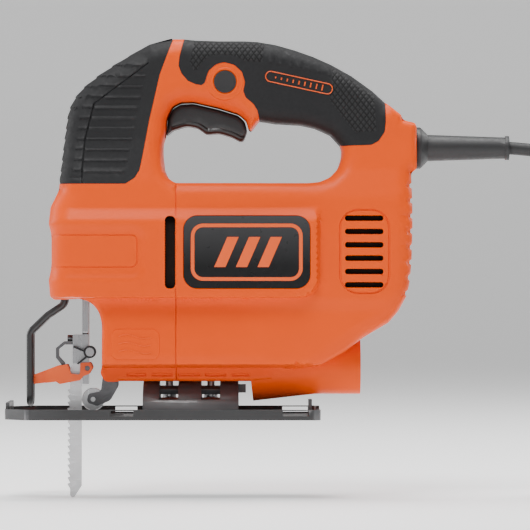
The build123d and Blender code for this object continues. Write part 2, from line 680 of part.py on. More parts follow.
# ---- blade guide: swinging arm with a grooved roller ---------------------------------------
roller_x, roller_z = -38.7, 10.2
roller_radius = 6.1
roller_half_width = 1.6
arm_half_width = 3.0
axle_radius = 1.3
arm_outline = [(-33.2, 24.5, 3.5), (-29.3, 28.4, 3.5), (-25.2, 24.5, 3.5), (-24.9, 17.5, 4),
               (-29.5, 9.5, 4), (-36.5, 6.6, 2), (-42.2, 8.4, 2.4), (-41.2, 13.2, 2), (-34.5, 14.5, 2)]
with BuildPart() as roller_arm:
    add(side_plate(arm_outline, -arm_half_width, arm_half_width))
    add(rod(roller_radius + 0.6, (roller_x, -roller_half_width - 0.2, roller_z),
            (roller_x, roller_half_width + 0.2, roller_z)), mode=Mode.SUBTRACT)
    add(rod(axle_radius, (roller_x, -5, roller_z), (roller_x, 5, roller_z)), mode=Mode.SUBTRACT)
    add(rod(2.0 + running, (arm_pin_x, -5, arm_pin_z), (arm_pin_x, 5, arm_pin_z)), mode=Mode.SUBTRACT)
save(main_solid(roller_arm.part), "roller_arm")

with BuildPart() as roller_pin:
    add(rod(axle_radius, (roller_x, -arm_half_width - 0.4, roller_z),
            (roller_x, arm_half_width + 0.4, roller_z)))
save(roller_pin.part, "roller_pin")

groove_depth = 0.8
with BuildPart() as guide_roller:
    with BuildSketch(Plane.XY.offset(roller_z)):
        with BuildLine():
            rim, groove = roller_x + roller_radius, roller_x + roller_radius - groove_depth
            inner = roller_x + axle_radius + running
            Polyline((inner, -roller_half_width), (rim, -roller_half_width), (rim, -0.7), (groove, -0.4),
                     (groove, 0.4), (rim, 0.7), (rim, roller_half_width), (inner, roller_half_width),
                     close=True)
        make_face()
    revolve(axis=Axis((roller_x, 0, roller_z), (0, 1, 0)))
save(guide_roller.part, "guide_roller")

with BuildPart() as arm_pivot_pin:
    add(rod(2.0, (arm_pin_x, -9, arm_pin_z), (arm_pin_x, 9, arm_pin_z)))
save(arm_pivot_pin.part, "arm_pivot_pin")

# ---- wire guard in front of the blade ------------------------------------------------------
guard_side = [(-54, 72), (-54, 61.5), (-63, 55.5), (-72.5, 46.5), (-72.5, 8.4)]
guard_points = [(x, -guard_leg_y, z) for x, z in guard_side]
guard_points += [(x, guard_leg_y, z) for x, z in reversed(guard_side)]
with BuildPart() as guard_wire:
    with BuildLine() as guard_line:
        FilletPolyline(*guard_points, radius=[5, 5, 5, 4.5, 4.5, 5, 5, 5])
    with BuildSketch(Plane(origin=guard_line.line @ 0, z_dir=guard_line.line % 0)):
        Circle(guard_radius)
    sweep()
save(guard_wire.part, "guard_wire")

# ---- shoe and the saddle that it tilts on -------------------------------------------------
window = [(-79, -window_half_width, 3), (-22, -window_half_width, 3), (-22, window_half_width, 3),
          (-79, window_half_width, 3)]
shoe_plan = [(shoe_front_x, -20, 3), (shoe_front_x + 12, -shoe_half_width, 5),
             (shoe_rear_x, -shoe_half_width, 4), (shoe_rear_x, shoe_half_width, 4),
             (shoe_front_x + 12, shoe_half_width, 5), (shoe_front_x, 20, 3)]
guide_slot_x = (-28.0, -16.0)
guide_slot_z = (2.2, 5.0)
with BuildPart() as shoe:
    with BuildSketch():
        add(rounded_face(shoe_plan))
    extrude(amount=flange_height)
    with BuildSketch(Plane.XY.offset(shoe_plate)):
        add(rounded_face(shoe_plan))
        offset(amount=-shoe_plate, mode=Mode.REPLACE)
    extrude(amount=flange_height, mode=Mode.SUBTRACT)
    # window that the blade, the guard and the roller stand in
    with BuildSketch():
        add(rounded_face(window))
    extrude(amount=shoe_plate, mode=Mode.SUBTRACT)
    # turned-up toe and the heel tab
    add(block((shoe_front_x + 0.4, shoe_front_x + 2.4), (-18, 18), (1, 9)))
    add(block((shoe_rear_x - 6.4, shoe_rear_x - 4.4), (-6.5, 6.5), (1, 10.2)))
    # dip in the rear flange, clear of the dust outlet at full tilt
    add(block((shoe_rear_x - shoe_plate - 0.1, shoe_rear_x + 1), (-28, 28), (4.2, 8)), mode=Mode.SUBTRACT)
    # slots for an edge guide, through both side flanges
    for slot_x in (guide_slot_x, (63.5, 77.4)):
        add(block(slot_x, (-40, 40), guide_slot_z), mode=Mode.SUBTRACT)
    # holes where the saddle is riveted on
    with Locations(*[(x, y, 0) for x in (-6, 34) for y in (-24, 24)]):
        Hole(1.5)
save(main_solid(shoe.part), "shoe_plate")

slot_angle = 58
with BuildPart() as bevel_saddle:
    with BuildSketch(Plane.YZ.offset(saddle_x[0])):
        Circle(saddle_radius)
        Circle(saddle_radius - saddle_wall, mode=Mode.SUBTRACT)
        Rectangle(60, 60, align=(Align.CENTER, Align.MAX), mode=Mode.SUBTRACT)
        with Locations((0, shoe_plate)):
            Rectangle(60, 60, align=(Align.CENTER, Align.MAX), mode=Mode.SUBTRACT)
        # feet that lie on the plate
        for side in (-1, 1):
            with Locations((side * 23.6, shoe_plate)):
                Rectangle(11, saddle_wall, align=(Align.CENTER, Align.MIN))
    extrude(amount=saddle_x[1] - saddle_x[0])
    # two slots round the saddle, which the clamp screws slide in
    with BuildPart(mode=Mode.PRIVATE) as slot_cutter:
        for x in clamp_screw_x:
            with BuildSketch(Plane.YZ.offset(x - tilt_slot_width / 2)):
                with BuildLine():
                    a = radians(90 - slot_angle)
                    Polyline((0, 0), (40 * cos(a), 40 * sin(a)), (0, 60), (-40 * cos(a), 40 * sin(a)),
                             close=True)
                make_face()
            extrude(amount=tilt_slot_width)
    add(slot_cutter.part, mode=Mode.SUBTRACT)
    for x in (-6, 34):
        for y in (-24, 24):
            add(rod(1.5, (x, y, 0), (x, y, 8)), mode=Mode.SUBTRACT)
    # pointer tab behind the saddle
    add(block((saddle_x[1] - 0.2, saddle_x[1] + 4), (-3, 3), (13.8, 18.3)))
save(main_solid(bevel_saddle.part), "bevel_saddle")

with BuildPart() as shoe_rivets:
    for x in (-6, 34):
        for y in (-24, 24):
            add(rod(1.5, (x, y, 0.2), (x, y, shoe_plate + saddle_wall)))
            add(rod(2.4, (x, y, shoe_plate + saddle_wall), (x, y, shoe_plate + saddle_wall + 0.3)))
save(shoe_rivets.part, "shoe_rivets")

clamp_radius = saddle_radius - saddle_wall - 0.35
with BuildPart() as bevel_clamp_plate:
    with BuildSketch(Plane.YZ.offset(saddle_x[0] + 3)):
        Circle(clamp_radius)
        Circle(clamp_radius - 3, mode=Mode.SUBTRACT)
        with BuildLine():
            a = radians(62)
            Polyline((0, 0), (50 * cos(a), 50 * sin(a)), (-50 * cos(a), 50 * sin(a)), close=True)
        make_face(mode=Mode.INTERSECT)
    extrude(amount=saddle_x[1] - saddle_x[0] - 6)
    for x in clamp_screw_x:
        add(rod(2.0, (x, 0, 5), (x, 0, 25)), mode=Mode.SUBTRACT)
save(main_solid(bevel_clamp_plate.part), "bevel_clamp_plate")

with BuildPart() as bevel_clamp_screws:
    for x in clamp_screw_x:
        add(rod(2.0, (x, 0, 13.4), (x, 0, 31.2)))
        add(rod(3.6, (x, 0, 11.2), (x, 0, clamp_radius - 3.6)))
save(bevel_clamp_screws.part, "bevel_clamp_screws")

# ---- screws that hold the mouldings together ----------------------------------------------
with BuildPart() as housing_screws:
    for x, z in screw_places:
        head_y = screw_head_y(x, z)
        add(rod(screw_radius, (x, -14, z), (x, head_y, z)))
        add(rod(3.0, (x, head_y, z), (x, head_y + 2.2, z)))
        add(rod(1.2, (x, head_y + 1.2, z), (x, head_y + 3, z)), mode=Mode.SUBTRACT)
save(housing_screws.part, "housing_screws")

# ---- trigger, lock button and switch ------------------------------------------------------
trigger_outline = [(1.8, 161.2, 2), (5, 168.4, 2.5), (9, 169.6, 2), (16, 169.6, 4), (29.3, 166.4, 6),
                   (39.6, 163.2, 2), (43.4, 159.8, 1.5), (44.4, 154.5, 1), (42.6, 149.2, 1),
                   (40.5, 148.8, 1), (36, 151.3, 3), (29.3, 153.3, 4), (22, 152.4, 2), (17.6, 156.4, 4),
                   (12, 157.3, 4), (4.5, 155.2, 3), (0.9, 151.4, 0.6)]
with BuildPart() as trigger:
    add(side_plate(trigger_outline, -trigger_half_width, trigger_half_width))
    add(block((12, 30), (-5, 5), (160, 174.5)))
save(trigger.part, "trigger")

button_face_y = -(handle_half_width + 0.7)
with BuildPart() as lock_button:
    add(rod(button_radius, (button_x, button_face_y, button_z), (button_x, -10.4, button_z)))
    add(rod(button_radius + 1.4, (button_x, -14.9, button_z), (button_x, -13.2, button_z)))
save(lock_button.part, "lock_button")

with BuildPart() as switch_body:
    add(block((8, 44), (-6, 6), (180.2, 195)))
    add(block((40, 43), (-7, 7), (181, 192)))
save(switch_body.part, "switch_body")

# ---- strain relief, lead, coil and plug ---------------------------------------------------
rear_face_x = rear_x + 2.3
with BuildPart() as strain_relief:
    relief_steps = [(113.0, 3.5), (126.0, 3.5), (126.0, 6.45), (rear_face_x + 0.1, 6.45),
                    (rear_face_x + 0.1, 11.2), (rear_face_x + 2.5, 11.2), (rear_face_x + 6.5, 7.15),
                    (relief_end_x - 2.2, 5.75), (relief_end_x - 2.2, 6.5), (relief_end_x, 6.5)]
    with BuildSketch(Plane.XZ):
        with BuildLine():
            Polyline((113.0, relief_z), *[(x, relief_z + radius) for x, radius in relief_steps],
                     (relief_end_x, relief_z), close=True)
        make_face()
    revolve(axis=Axis((0, 0, relief_z), (1, 0, 0)))
save(strain_relief.part, "strain_relief")

with BuildPart() as cord_clamp:
    add(block((114, 119), (-8, 8), (142.2, 152.6)))
    add(rod(3.5, (110, 0, relief_z), (122, 0, relief_z)), mode=Mode.SUBTRACT)
    add(block((110, 122), (-3.5, 3.5), (140, relief_z)), mode=Mode.SUBTRACT)
save(cord_clamp.part, "cord_clamp")

lead_floor_z = bench_z + lead_radius
coil_centre = (254.0, 0.0)
coil_inner = coil_turn_radius - 3 * lead_radius
coil_outer = coil_turn_radius + 3 * lead_radius
coil_height = 4 * lead_radius
outer_turn = coil_turn_radius + 2 * lead_radius
lead_points = [(relief_end_x, 0, relief_z), (208, 0, 144.2), (236, -2, 135), (265, -7, 117),
               (291, -15, 90), (313.3, -25.1, 52.6), (322.8, -35.9, 22.4), (322.9, -35.8, -6.7),
               (317.7, -24, -27.9), (308.7, -5.4, lead_floor_z), (297.5, 14.7, lead_floor_z)]


def bend_radii(points):
    """Radius at each corner of a route: 0.45 of the shorter run over the tangent of half the turn."""
    radii = []
    for before, here, after in zip(points, points[1:], points[2:]):
        inward, outward = Vector(*here) - Vector(*before), Vector(*after) - Vector(*here)
        turn = radians(inward.get_angle(outward))
        radii.append(0.45 * min(inward.length, outward.length) / tan(turn / 2))
    return radii


lead_radii = bend_radii(lead_points)
print("lead radii", [round(radius, 1) for radius in lead_radii])
with BuildPart() as mains_lead:
    with BuildLine() as lead_line:
        FilletPolyline(*lead_points, radius=lead_radii)
    with BuildSketch(Plane(origin=lead_line.line @ 0, z_dir=lead_line.line % 0)):
        Circle(lead_radius)
    sweep()
lead_length = sum(edge.length for edge in lead_line.edges())
print("lead", round(lead_length, 1), round(mains_lead.part.volume / (pi * lead_radius ** 2), 1))
save(mains_lead.part, "mains_lead")

with BuildPart() as lead_coil:
    with BuildSketch(Plane.XY.offset(bench_z)):
        with Locations(coil_centre):
            Circle(coil_outer)
            Circle(coil_inner, mode=Mode.SUBTRACT)
    extrude(amount=coil_height)
    fillet(lead_coil.edges(), lead_radius * 0.9)
save(lead_coil.part, "lead_coil")

# the tail climbs off the coil round an arc of its own and runs into the plug, which lies on the coil
plug_half_thickness = 9.5
plug_z = bench_z + coil_height + plug_half_thickness
plug_angle = -30           # where round the coil the tail turns straight
tail_turn = 25             # turn at each corner of the tail
tail_radius = outer_turn - lead_radius * 2
plug_way = Vector(-sin(radians(plug_angle)), cos(radians(plug_angle)), 0)
tail_centre = Vector(coil_centre[0], coil_centre[1], 0) - plug_way * (outer_turn - tail_radius)
tail_run = 2 * tail_radius * tan(radians(tail_turn / 2))
tail_points = []
for corner, height in ((2.5, plug_z - 6.5), (1.5, plug_z - 2.5), (0.5, plug_z)):
    angle = radians(plug_angle - corner * tail_turn)
    reach = tail_radius / cos(radians(tail_turn / 2))
    tail_points.append((tail_centre.X + reach * cos(angle), tail_centre.Y + reach * sin(angle), height))
first_angle = radians(plug_angle - 3 * tail_turn)
first_way = Vector(-sin(first_angle), cos(first_angle), 0)
tail_points.insert(0, tuple(Vector(*tail_points[0]) - first_way * tail_run - Vector(0, 0, 1.8)))
tail_points.append(tuple(Vector(*tail_points[-1]) + plug_way * tail_run))
tail_radii = bend_radii(tail_points)
print("tail radii", [round(radius, 1) for radius in tail_radii])
with BuildPart() as plug_lead:
    with BuildLine() as tail_line:
        FilletPolyline(*tail_points, radius=tail_radii)
    with BuildSketch(Plane(origin=tail_line.line @ 0, z_dir=tail_line.line % 0)):
        Circle(lead_radius)
    sweep()
tail_length = sum(edge.length for edge in tail_line.edges())
print("tail", round(tail_length, 1), round(plug_lead.part.volume / (pi * lead_radius ** 2), 1))
save(plug_lead.part, "plug_lead")

pin_radius, pin_length, pin_spacing = 2.4, 19.0, 19.0
plug_plane = Plane(origin=Vector(*tail_points[-1]), x_dir=plug_way, z_dir=(0, 0, 1))
with BuildPart() as mains_plug:
    with BuildSketch(plug_plane):
        with BuildLine():
            Polyline((0, -5.2), (15, -6.6), (19, -13), (42, -17.5), (46, -16), (46, 16), (42, 17.5),
                     (19, 13), (15, 6.6), (0, 5.2), close=True)
        make_face()
    extrude(amount=plug_half_thickness, both=True)
    fillet(mains_plug.edges().filter_by(Axis.Z), 2)
    for side in (-1, 1):
        foot = plug_plane.from_local_coords((45, side * pin_spacing / 2, 0))
        add(rod(pin_radius, foot, foot + plug_way * (pin_length + 1)))
save(mains_plug.part, "mains_plug")

tie_wall = 1.2
with BuildPart() as coil_tie:
    tie_x = coil_centre[0] - coil_turn_radius
    half = 3 * lead_radius + 0.5
    low_y, high_y = coil_centre[1] - 4, coil_centre[1] + 4
    tie_top = bench_z + coil_height + tie_wall + 0.1
    add(block((tie_x - half - tie_wall, tie_x + half + tie_wall), (low_y, high_y), (bench_z, tie_top)))
    add(block((tie_x - half, tie_x + half), (low_y, high_y), (bench_z - 1, tie_top - tie_wall)),
        mode=Mode.SUBTRACT)
save(coil_tie.part, "coil_tie")
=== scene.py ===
import bpy
import bmesh
import math
import numpy as np
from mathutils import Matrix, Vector, geometry


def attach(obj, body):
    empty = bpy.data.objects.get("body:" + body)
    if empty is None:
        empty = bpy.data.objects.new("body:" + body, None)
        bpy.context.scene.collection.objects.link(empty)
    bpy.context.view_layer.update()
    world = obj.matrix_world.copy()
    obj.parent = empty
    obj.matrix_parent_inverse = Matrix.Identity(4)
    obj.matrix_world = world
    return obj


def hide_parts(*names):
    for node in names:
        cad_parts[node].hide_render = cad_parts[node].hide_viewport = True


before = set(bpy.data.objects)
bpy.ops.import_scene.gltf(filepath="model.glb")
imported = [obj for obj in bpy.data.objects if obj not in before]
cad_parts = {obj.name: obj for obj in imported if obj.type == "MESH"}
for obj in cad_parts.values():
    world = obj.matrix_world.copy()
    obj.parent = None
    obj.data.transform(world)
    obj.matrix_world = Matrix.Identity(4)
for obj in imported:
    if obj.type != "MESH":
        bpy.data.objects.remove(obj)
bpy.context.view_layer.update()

# ============ The stand: camera, bench and studio light ============
# The saw is held level by its sole, so the bench under it is at the tip of the blade, where the
# lead lies. One long lens looks at the left side, square on, from the height of the motor.
MM = 0.001
bench_z = -0.0428


def aim(name, data, place, target):
    """Camera or lamp standing at place and pointing at target."""
    holder = bpy.data.objects.new(name, data)
    bpy.context.collection.objects.link(holder)
    holder.location = place
    holder.rotation_euler = (Vector(target) - Vector(place)).to_track_quat("-Z", "Y").to_euler()
    return holder


lens = bpy.data.cameras.new("camera")
lens.sensor_width = 36.0
lens.lens = 251.6
lens.clip_end = 20.0
camera = aim("camera", lens, (0.054, -2.0, 0.0826), (0.054, 0.0, 0.0826))
bpy.context.scene.camera = camera


def lamp(name, place, target, size, power, tint=(1.0, 1.0, 1.0)):
    """Square soft box that points at target."""
    light = bpy.data.lights.new(name, "AREA")
    light.shape = "SQUARE"
    light.size = size
    light.energy = power
    light.color = tint
    return aim(name, light, place, target)


saw_middle = (0.04, 0.0, 0.09)
lamp("key_box", (-0.3, -0.9, 1.6), saw_middle, 0.7, 27.0)
lamp("front_fill", (0.6, -1.7, 0.3), saw_middle, 1.4, 1.2)
lamp("top_strip", (0.1, 0.1, 1.2), saw_middle, 0.7, 16.0)
lamp("rear_rim", (1.1, 0.7, 0.7), saw_middle, 0.8, 10.0)
lamp("nose_rim", (-1.1, 0.3, 0.5), saw_middle, 0.7, 8.0)

sky = bpy.data.worlds.new("studio")
bpy.context.scene.world = sky
sky.use_nodes = True
sky.node_tree.nodes["Background"].inputs["Color"].default_value = (1.0, 1.0, 1.0, 1.0)
sky.node_tree.nodes["Background"].inputs["Strength"].default_value = 0.2


def new_mesh(name, points, faces, material, body, smooth=True):
    """Mesh object from points in metres, riding on a body of the saw."""
    mesh = bpy.data.meshes.new(name)
    mesh.from_pydata([tuple(point) for point in points], [], [tuple(face) for face in faces])
    mesh.validate()
    mesh.polygons.foreach_set("use_smooth", [smooth] * len(mesh.polygons))
    piece = bpy.data.objects.new(name, mesh)
    bpy.context.collection.objects.link(piece)
    if material:
        mesh.materials.append(material)
    if body:
        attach(piece, body)
    return piece


class Finish:
    """One finish of the saw: a procedural material, wired up a step at a time."""

    def __init__(self, name, colour, roughness, **sockets):
        self.material = bpy.data.materials.new(name)
        self.material.use_nodes = True
        self.nodes = self.material.node_tree.nodes
        self.shader = self.nodes["Principled BSDF"]
        self.set("Base Color", (*colour, 1.0))
        self.set("Roughness", roughness)
        for socket, value in sockets.items():
            self.set(socket.replace("_", " "), value)
        self.place = self.nodes.new("ShaderNodeTexCoord").outputs["Object"]
        self.height = None

    def set(self, socket, value):
        self.shader.inputs[socket].default_value = value

    def link(self, output, target):
        self.material.node_tree.links.new(output, target)

    def noise(self, scale, detail=3.0, stretch=None):
        """Noise value, in cells per metre, optionally stretched along the axes."""
        texture = self.nodes.new("ShaderNodeTexNoise")
        texture.inputs["Scale"].default_value = scale
        texture.inputs["Detail"].default_value = detail
        source = self.place
        if stretch:
            mapping = self.nodes.new("ShaderNodeMapping")
            mapping.inputs["Scale"].default_value = stretch
            self.link(source, mapping.inputs["Vector"])
            source = mapping.outputs["Vector"]
        self.link(source, texture.inputs["Vector"])
        return texture.outputs["Fac"]

    def spread(self, value, low, high, start=0.3, stop=0.7):
        """Map a 0 to 1 value onto a range of numbers."""
        ranges = self.nodes.new("ShaderNodeMapRange")
        for socket, number in (("From Min", start), ("From Max", stop), ("To Min", low), ("To Max", high)):
            ranges.inputs[socket].default_value = number
        self.link(value, ranges.inputs["Value"])
        return ranges.outputs["Result"]

    def shade(self, value, dark, light):
        """Base colour that wanders between two tones."""
        mix = self.nodes.new("ShaderNodeMix")
        mix.data_type = "RGBA"
        self.link(value, mix.inputs["Factor"])
        mix.inputs["A"].default_value = (*dark, 1.0)
        mix.inputs["B"].default_value = (*light, 1.0)
        self.link(mix.outputs["Result"], self.shader.inputs["Base Color"])
        return mix

    def rough(self, value, low, high):
        """Roughness that wanders between two numbers."""
        self.link(self.spread(value, low, high), self.shader.inputs["Roughness"])

    def bump(self, value, depth):
        """Surface relief of that depth in metres."""
        relief = self.nodes.new("ShaderNodeBump")
        relief.inputs["Distance"].default_value = depth
        relief.inputs["Strength"].default_value = 1.0
        self.link(value, relief.inputs["Height"])
        if self.height:
            self.link(self.height, relief.inputs["Normal"])
        self.height = relief.outputs["Normal"]
        self.link(self.height, self.shader.inputs["Normal"])

    def worn(self, tone, strength=0.5):
        """Paler tone where edges stand proud, from the curvature of the mesh."""
        curve = self.nodes.new("ShaderNodeNewGeometry").outputs["Pointiness"]
        edge = self.spread(curve, 0.0, strength, 0.52, 0.6)
        mix = self.nodes.new("ShaderNodeMix")
        mix.data_type = "RGBA"
        base = self.shader.inputs["Base Color"]
        if base.is_linked:
            self.link(base.links[0].from_socket, mix.inputs["A"])
        else:
            mix.inputs["A"].default_value = base.default_value
        mix.inputs["B"].default_value = (*tone, 1.0)
        self.link(edge, mix.inputs["Factor"])
        self.link(mix.outputs["Result"], base)


paper = Finish("bench_paper", (0.93, 0.93, 0.93), 0.9, Emission_Strength=0.35)
paper.set("Emission Color", (1.0, 1.0, 1.0, 1.0))
paper.shade(paper.noise(3.0), (0.92, 0.92, 0.92), (0.94, 0.94, 0.94))
bowl_sides = 64
bowl = [(0.6, 0.0), (1.6, 0.0), (3.0, 0.0), (3.5, 0.04), (3.9, 0.18), (4.2, 0.45), (4.35, 0.9)]
bowl_points, bowl_faces = [(0.0, 0.0, bench_z)], []
for row, (reach, rise) in enumerate(bowl):
    for number in range(bowl_sides):
        turn = 2 * math.pi * number / bowl_sides
        bowl_points.append((reach * math.cos(turn), reach * math.sin(turn), bench_z + rise))
        start = 1 + row * bowl_sides
        here, after = start + number, start + (number + 1) % bowl_sides
        if row:
            bowl_faces.append((here, after, after - bowl_sides, here - bowl_sides))
        else:
            bowl_faces.append((0, here, after))
bench = new_mesh("bench", bowl_points, bowl_faces, paper.material, None)


# ============ The mains lead ============
# A round flex with a matt rubber sheath. It hangs from the strain relief, lands on the bench and
# is put away in a neat tied coil, and its tail runs into the plug.
lead_radius = 3.5 * MM
lead_route = [(185.7, 0, 145.7), (208, 0, 144.2), (236, -2, 135), (265, -7, 117), (291, -15, 90),
              (313.3, -25.1, 52.6), (322.8, -35.9, 22.4), (322.9, -35.8, -6.7), (317.7, -24, -27.9),
              (308.7, -5.4, -39.3), (297.5, 14.7, -39.3)]
coil_centre = (254.0, 0.0)
low_layer = -39.3
high_layer = -32.3
points_per_turn = 16
landing = 30


def around(radius, angle, height):
    """Point on a turn of the coil at that angle in degrees."""
    turn = math.radians(angle)
    return (coil_centre[0] + radius * math.cos(turn), coil_centre[1] + radius * math.sin(turn), height)


route = list(lead_route)
turns = [(45, low_layer), (38, low_layer), (31, low_layer), (31, high_layer), (38, high_layer),
         (45, high_layer)]
for number, (radius, height) in enumerate(turns[:-1]):
    next_radius, next_height = turns[number + 1]
    for step in range(1, points_per_turn + 1):
        share = step / points_per_turn
        ease = max(0.0, (share - 0.75) / 0.25)
        route.append(around(radius + (next_radius - radius) * ease, landing + 360 * share,
                            height + (next_height - height) * ease))
for angle in (52.5, 75, 97.5, 120, 142.5, 165, 187.5, 210, 226):
    route.append(around(45, angle, high_layer))
route += [(232.5, -40.6, -29.0), (248.8, -44.9, -26.2), (265.4, -42.0, -21.8), (279.2, -32.4, -19.3),
          (287.6, -17.8, -19.3)]


def smooth_line(name, points, radius, material, body):
    """Round cord of one NURBS spline with those control points, in metres."""
    curve = bpy.data.curves.new(name, "CURVE")
    curve.dimensions = "3D"
    spline = curve.splines.new("NURBS")
    spline.points.add(len(points) - 1)
    for knot, point in zip(spline.points, points):
        knot.co = (*point, 1.0)
    spline.order_u = 3
    spline.use_endpoint_u = True
    curve.resolution_u = 8
    curve.bevel_depth = radius
    curve.bevel_resolution = 5
    curve.use_fill_caps = True
    curve.materials.append(material)
    cord = bpy.data.objects.new(name, curve)
    bpy.context.collection.objects.link(cord)
    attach(cord, body)
    return cord


sheath = Finish("lead_sheath", (0.018, 0.018, 0.019), 0.55, Specular_IOR_Level=0.45)
sheath.shade(sheath.noise(60.0), (0.014, 0.014, 0.015), (0.024, 0.024, 0.025))
sheath.rough(sheath.noise(500.0), 0.45, 0.62)
sheath.bump(sheath.noise(2600.0, 2.0), 0.00003)
lead = smooth_line("flex", [tuple(value * MM for value in point) for point in route], lead_radius,
                   sheath.material, "tool_body")
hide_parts("mains_lead", "lead_coil", "plug_lead")


# ============ The motor and handle housing ============
# Two glass-filled nylon halves, moulded in bright orange and screwed together along the middle.
# The flanks are crowned, with a flat-topped cheek over the motor, a scooped nose and louvres.
nose_line = [(-56.2, 123.1), (-60.9, 113.4), (-61.6, 104.5), (-60.2, 98.3), (-60.2, 81.5),
             (-61.6, 74.5), (-60.9, 65.9), (-59.6, 63.9)]
throat_line = [(-43.6, 64.5), (-38.4, 62.2), (-34.6, 57.6), (-33, 51.3), (-33, 29.2), (-34.4, 24.6),
               (-31.6, 20.1), (-26.5, 19.9)]
belly_line = [(-24, 20.3), (46.4, 20.3)]
tail_line = [(59.9, 21.3), (71.8, 23.8), (79.8, 27.2), (89.1, 32.0), (96.4, 36.0), (105.9, 43.4),
             (120, 51.7), (125.3, 57.9), (127, 61.2), (129.9, 66.6), (131.2, 73.2), (132.3, 84.8),
             (132.8, 101.5), (132.8, 115.3), (132.3, 132.3)]
rear_line = [(134.3, 133.2), (135.3, 134.1), (135.3, 157.1), (134.7, 158.7), (127.7, 160.3),
             (127.2, 163), (118.4, 169.8)]
top_line = [(111.8, 175.9), (100.6, 184), (89.9, 190), (79.6, 194.6), (69.9, 198), (59.6, 200.9),
            (50, 202.5), (43.1, 202.9), (29.2, 202.9), (16.7, 203.3), (10.7, 203.9), (4.5, 203.9)]
front_line = [(-8.2, 201.1), (-19.3, 195), (-28.7, 189.4), (-36.6, 183.9), (-43.8, 178), (-48.4, 172.5),
              (-51, 167.1), (-52.2, 162.5), (-53.8, 150.4), (-54.9, 140.2), (-56.1, 128.1)]
hand_line = [(46.4, 154.3), (50.7, 160.2), (59.6, 158.8), (72.9, 158), (80.8, 156.3), (89.1, 152.6),
             (94.7, 146.3), (95.3, 143.6), (95, 139.6), (93.1, 134.1), (88.7, 129.4), (83.2, 127),
             (77.2, 126.4), (5.9, 126.4), (1.8, 129.2), (-0.3, 133.7), (-1.1, 142.6), (-0.9, 148.1),
             (0.4, 151.5), (1.2, 161.4), (4.1, 167.5), (8.4, 169.9), (15.6, 170.2), (29.5, 167),
             (39.9, 163.7), (43.9, 160.2), (45.2, 155.2)]


def fine(points, step, closed=True):
    """Same line with points about a step apart."""
    line = np.array(points, float)
    if closed:
        line = np.vstack([line, line[:1]])
    result = []
    for start, stop in zip(line[:-1], line[1:]):
        count = max(1, int(round(np.linalg.norm(stop - start) / step)))
        for part in range(count):
            result.append(start + (stop - start) * part / count)
    if not closed:
        result.append(line[-1])
    return np.array(result)


def soften(points, times, closed=True):
    """Rounds the corners of a line by averaging each point with its neighbours."""
    line = points.copy()
    for _ in range(times):
        if closed:
            line = (np.roll(line, 1, axis=0) + 2 * line + np.roll(line, -1, axis=0)) / 4
        else:
            line[1:-1] = (line[:-2] + 2 * line[1:-1] + line[2:]) / 4
    return line


no_length = 1e-12


def distance(x, z, line, closed=False):
    """Distance of each point from a polyline."""
    corners = np.vstack([line, line[:1]]) if closed else line
    best = np.full(len(x), 1e9)
    for (ax, az), (bx, bz) in zip(corners[:-1], corners[1:]):
        dx, dz = bx - ax, bz - az
        size = dx * dx + dz * dz
        if size < no_length:
            continue
        t = np.clip(((x - ax) * dx + (z - az) * dz) / size, 0, 1)
        best = np.minimum(best, (x - ax - t * dx) ** 2 + (z - az - t * dz) ** 2)
    return np.sqrt(best)


def inside(x, z, line):
    """True for the points that a closed line holds."""
    held = np.zeros(len(x), bool)
    for (ax, az), (bx, bz) in zip(line, np.roll(line, -1, axis=0)):
        crosses = (az > z) != (bz > z)
        if abs(bz - az) > no_length:
            held ^= crosses & (x < (bx - ax) * (z - az) / (bz - az) + ax)
    return held


def pill(x, z, box, radius):
    """Signed distance from a rectangle with round corners, less than nothing inside."""
    x0, x1, z0, z1 = box
    px = np.abs(x - (x0 + x1) / 2) - (x1 - x0) / 2 + radius
    pz = np.abs(z - (z0 + z1) / 2) - (z1 - z0) / 2 + radius
    return np.hypot(np.maximum(px, 0), np.maximum(pz, 0)) + np.minimum(np.maximum(px, pz), 0) - radius


def pill_line(box, radius, grow=0.0, step=1.2):
    """Outline of a rectangle with round corners."""
    x0, x1, z0, z1 = box[0] - grow, box[1] + grow, box[2] - grow, box[3] + grow
    r = max(0.05, radius + grow)
    corners = []
    for cx, cz, first in ((x1 - r, z1 - r, 0), (x0 + r, z1 - r, 90), (x0 + r, z0 + r, 180),
                          (x1 - r, z0 + r, 270)):
        count = max(2, int(r * 1.57 / step) + 1)
        for part in range(count + 1):
            angle = math.radians(first + 90 * part / count)
            corners.append((cx + r * math.cos(angle), cz + r * math.sin(angle)))
    return fine(corners, step)


def ramp(value, low, high):
    """0 below low, 1 above high, smooth between."""
    share = np.clip((value - low) / (high - low), 0, 1)
    return share * share * (3 - 2 * share)


def drop(gap, radius):
    """How far a rounded edge has fallen away at that distance from it."""
    reach = radius - np.clip(gap, 0, radius)
    return radius - np.sqrt(np.maximum(radius * radius - reach * reach, 0))


outer_line = soften(fine(nose_line + throat_line + belly_line + tail_line + rear_line + top_line
                         + front_line, 0.8), 4)
hand_hole = soften(fine(hand_line, 0.8), 3)
nose_part = fine(nose_line, 2.5, closed=False)
throat_part = fine([(-59.6, 63.9)] + throat_line[:-3], 2.5, closed=False)
belly_part = np.array(belly_line + tail_line[:1], float)
tail_part = fine(tail_line, 2.5, closed=False)
rear_part = fine(tail_line[-1:] + rear_line, 2.5, closed=False)
crown_part = fine(rear_line[-1:] + top_line + front_line + nose_line[:1], 2.5, closed=False)

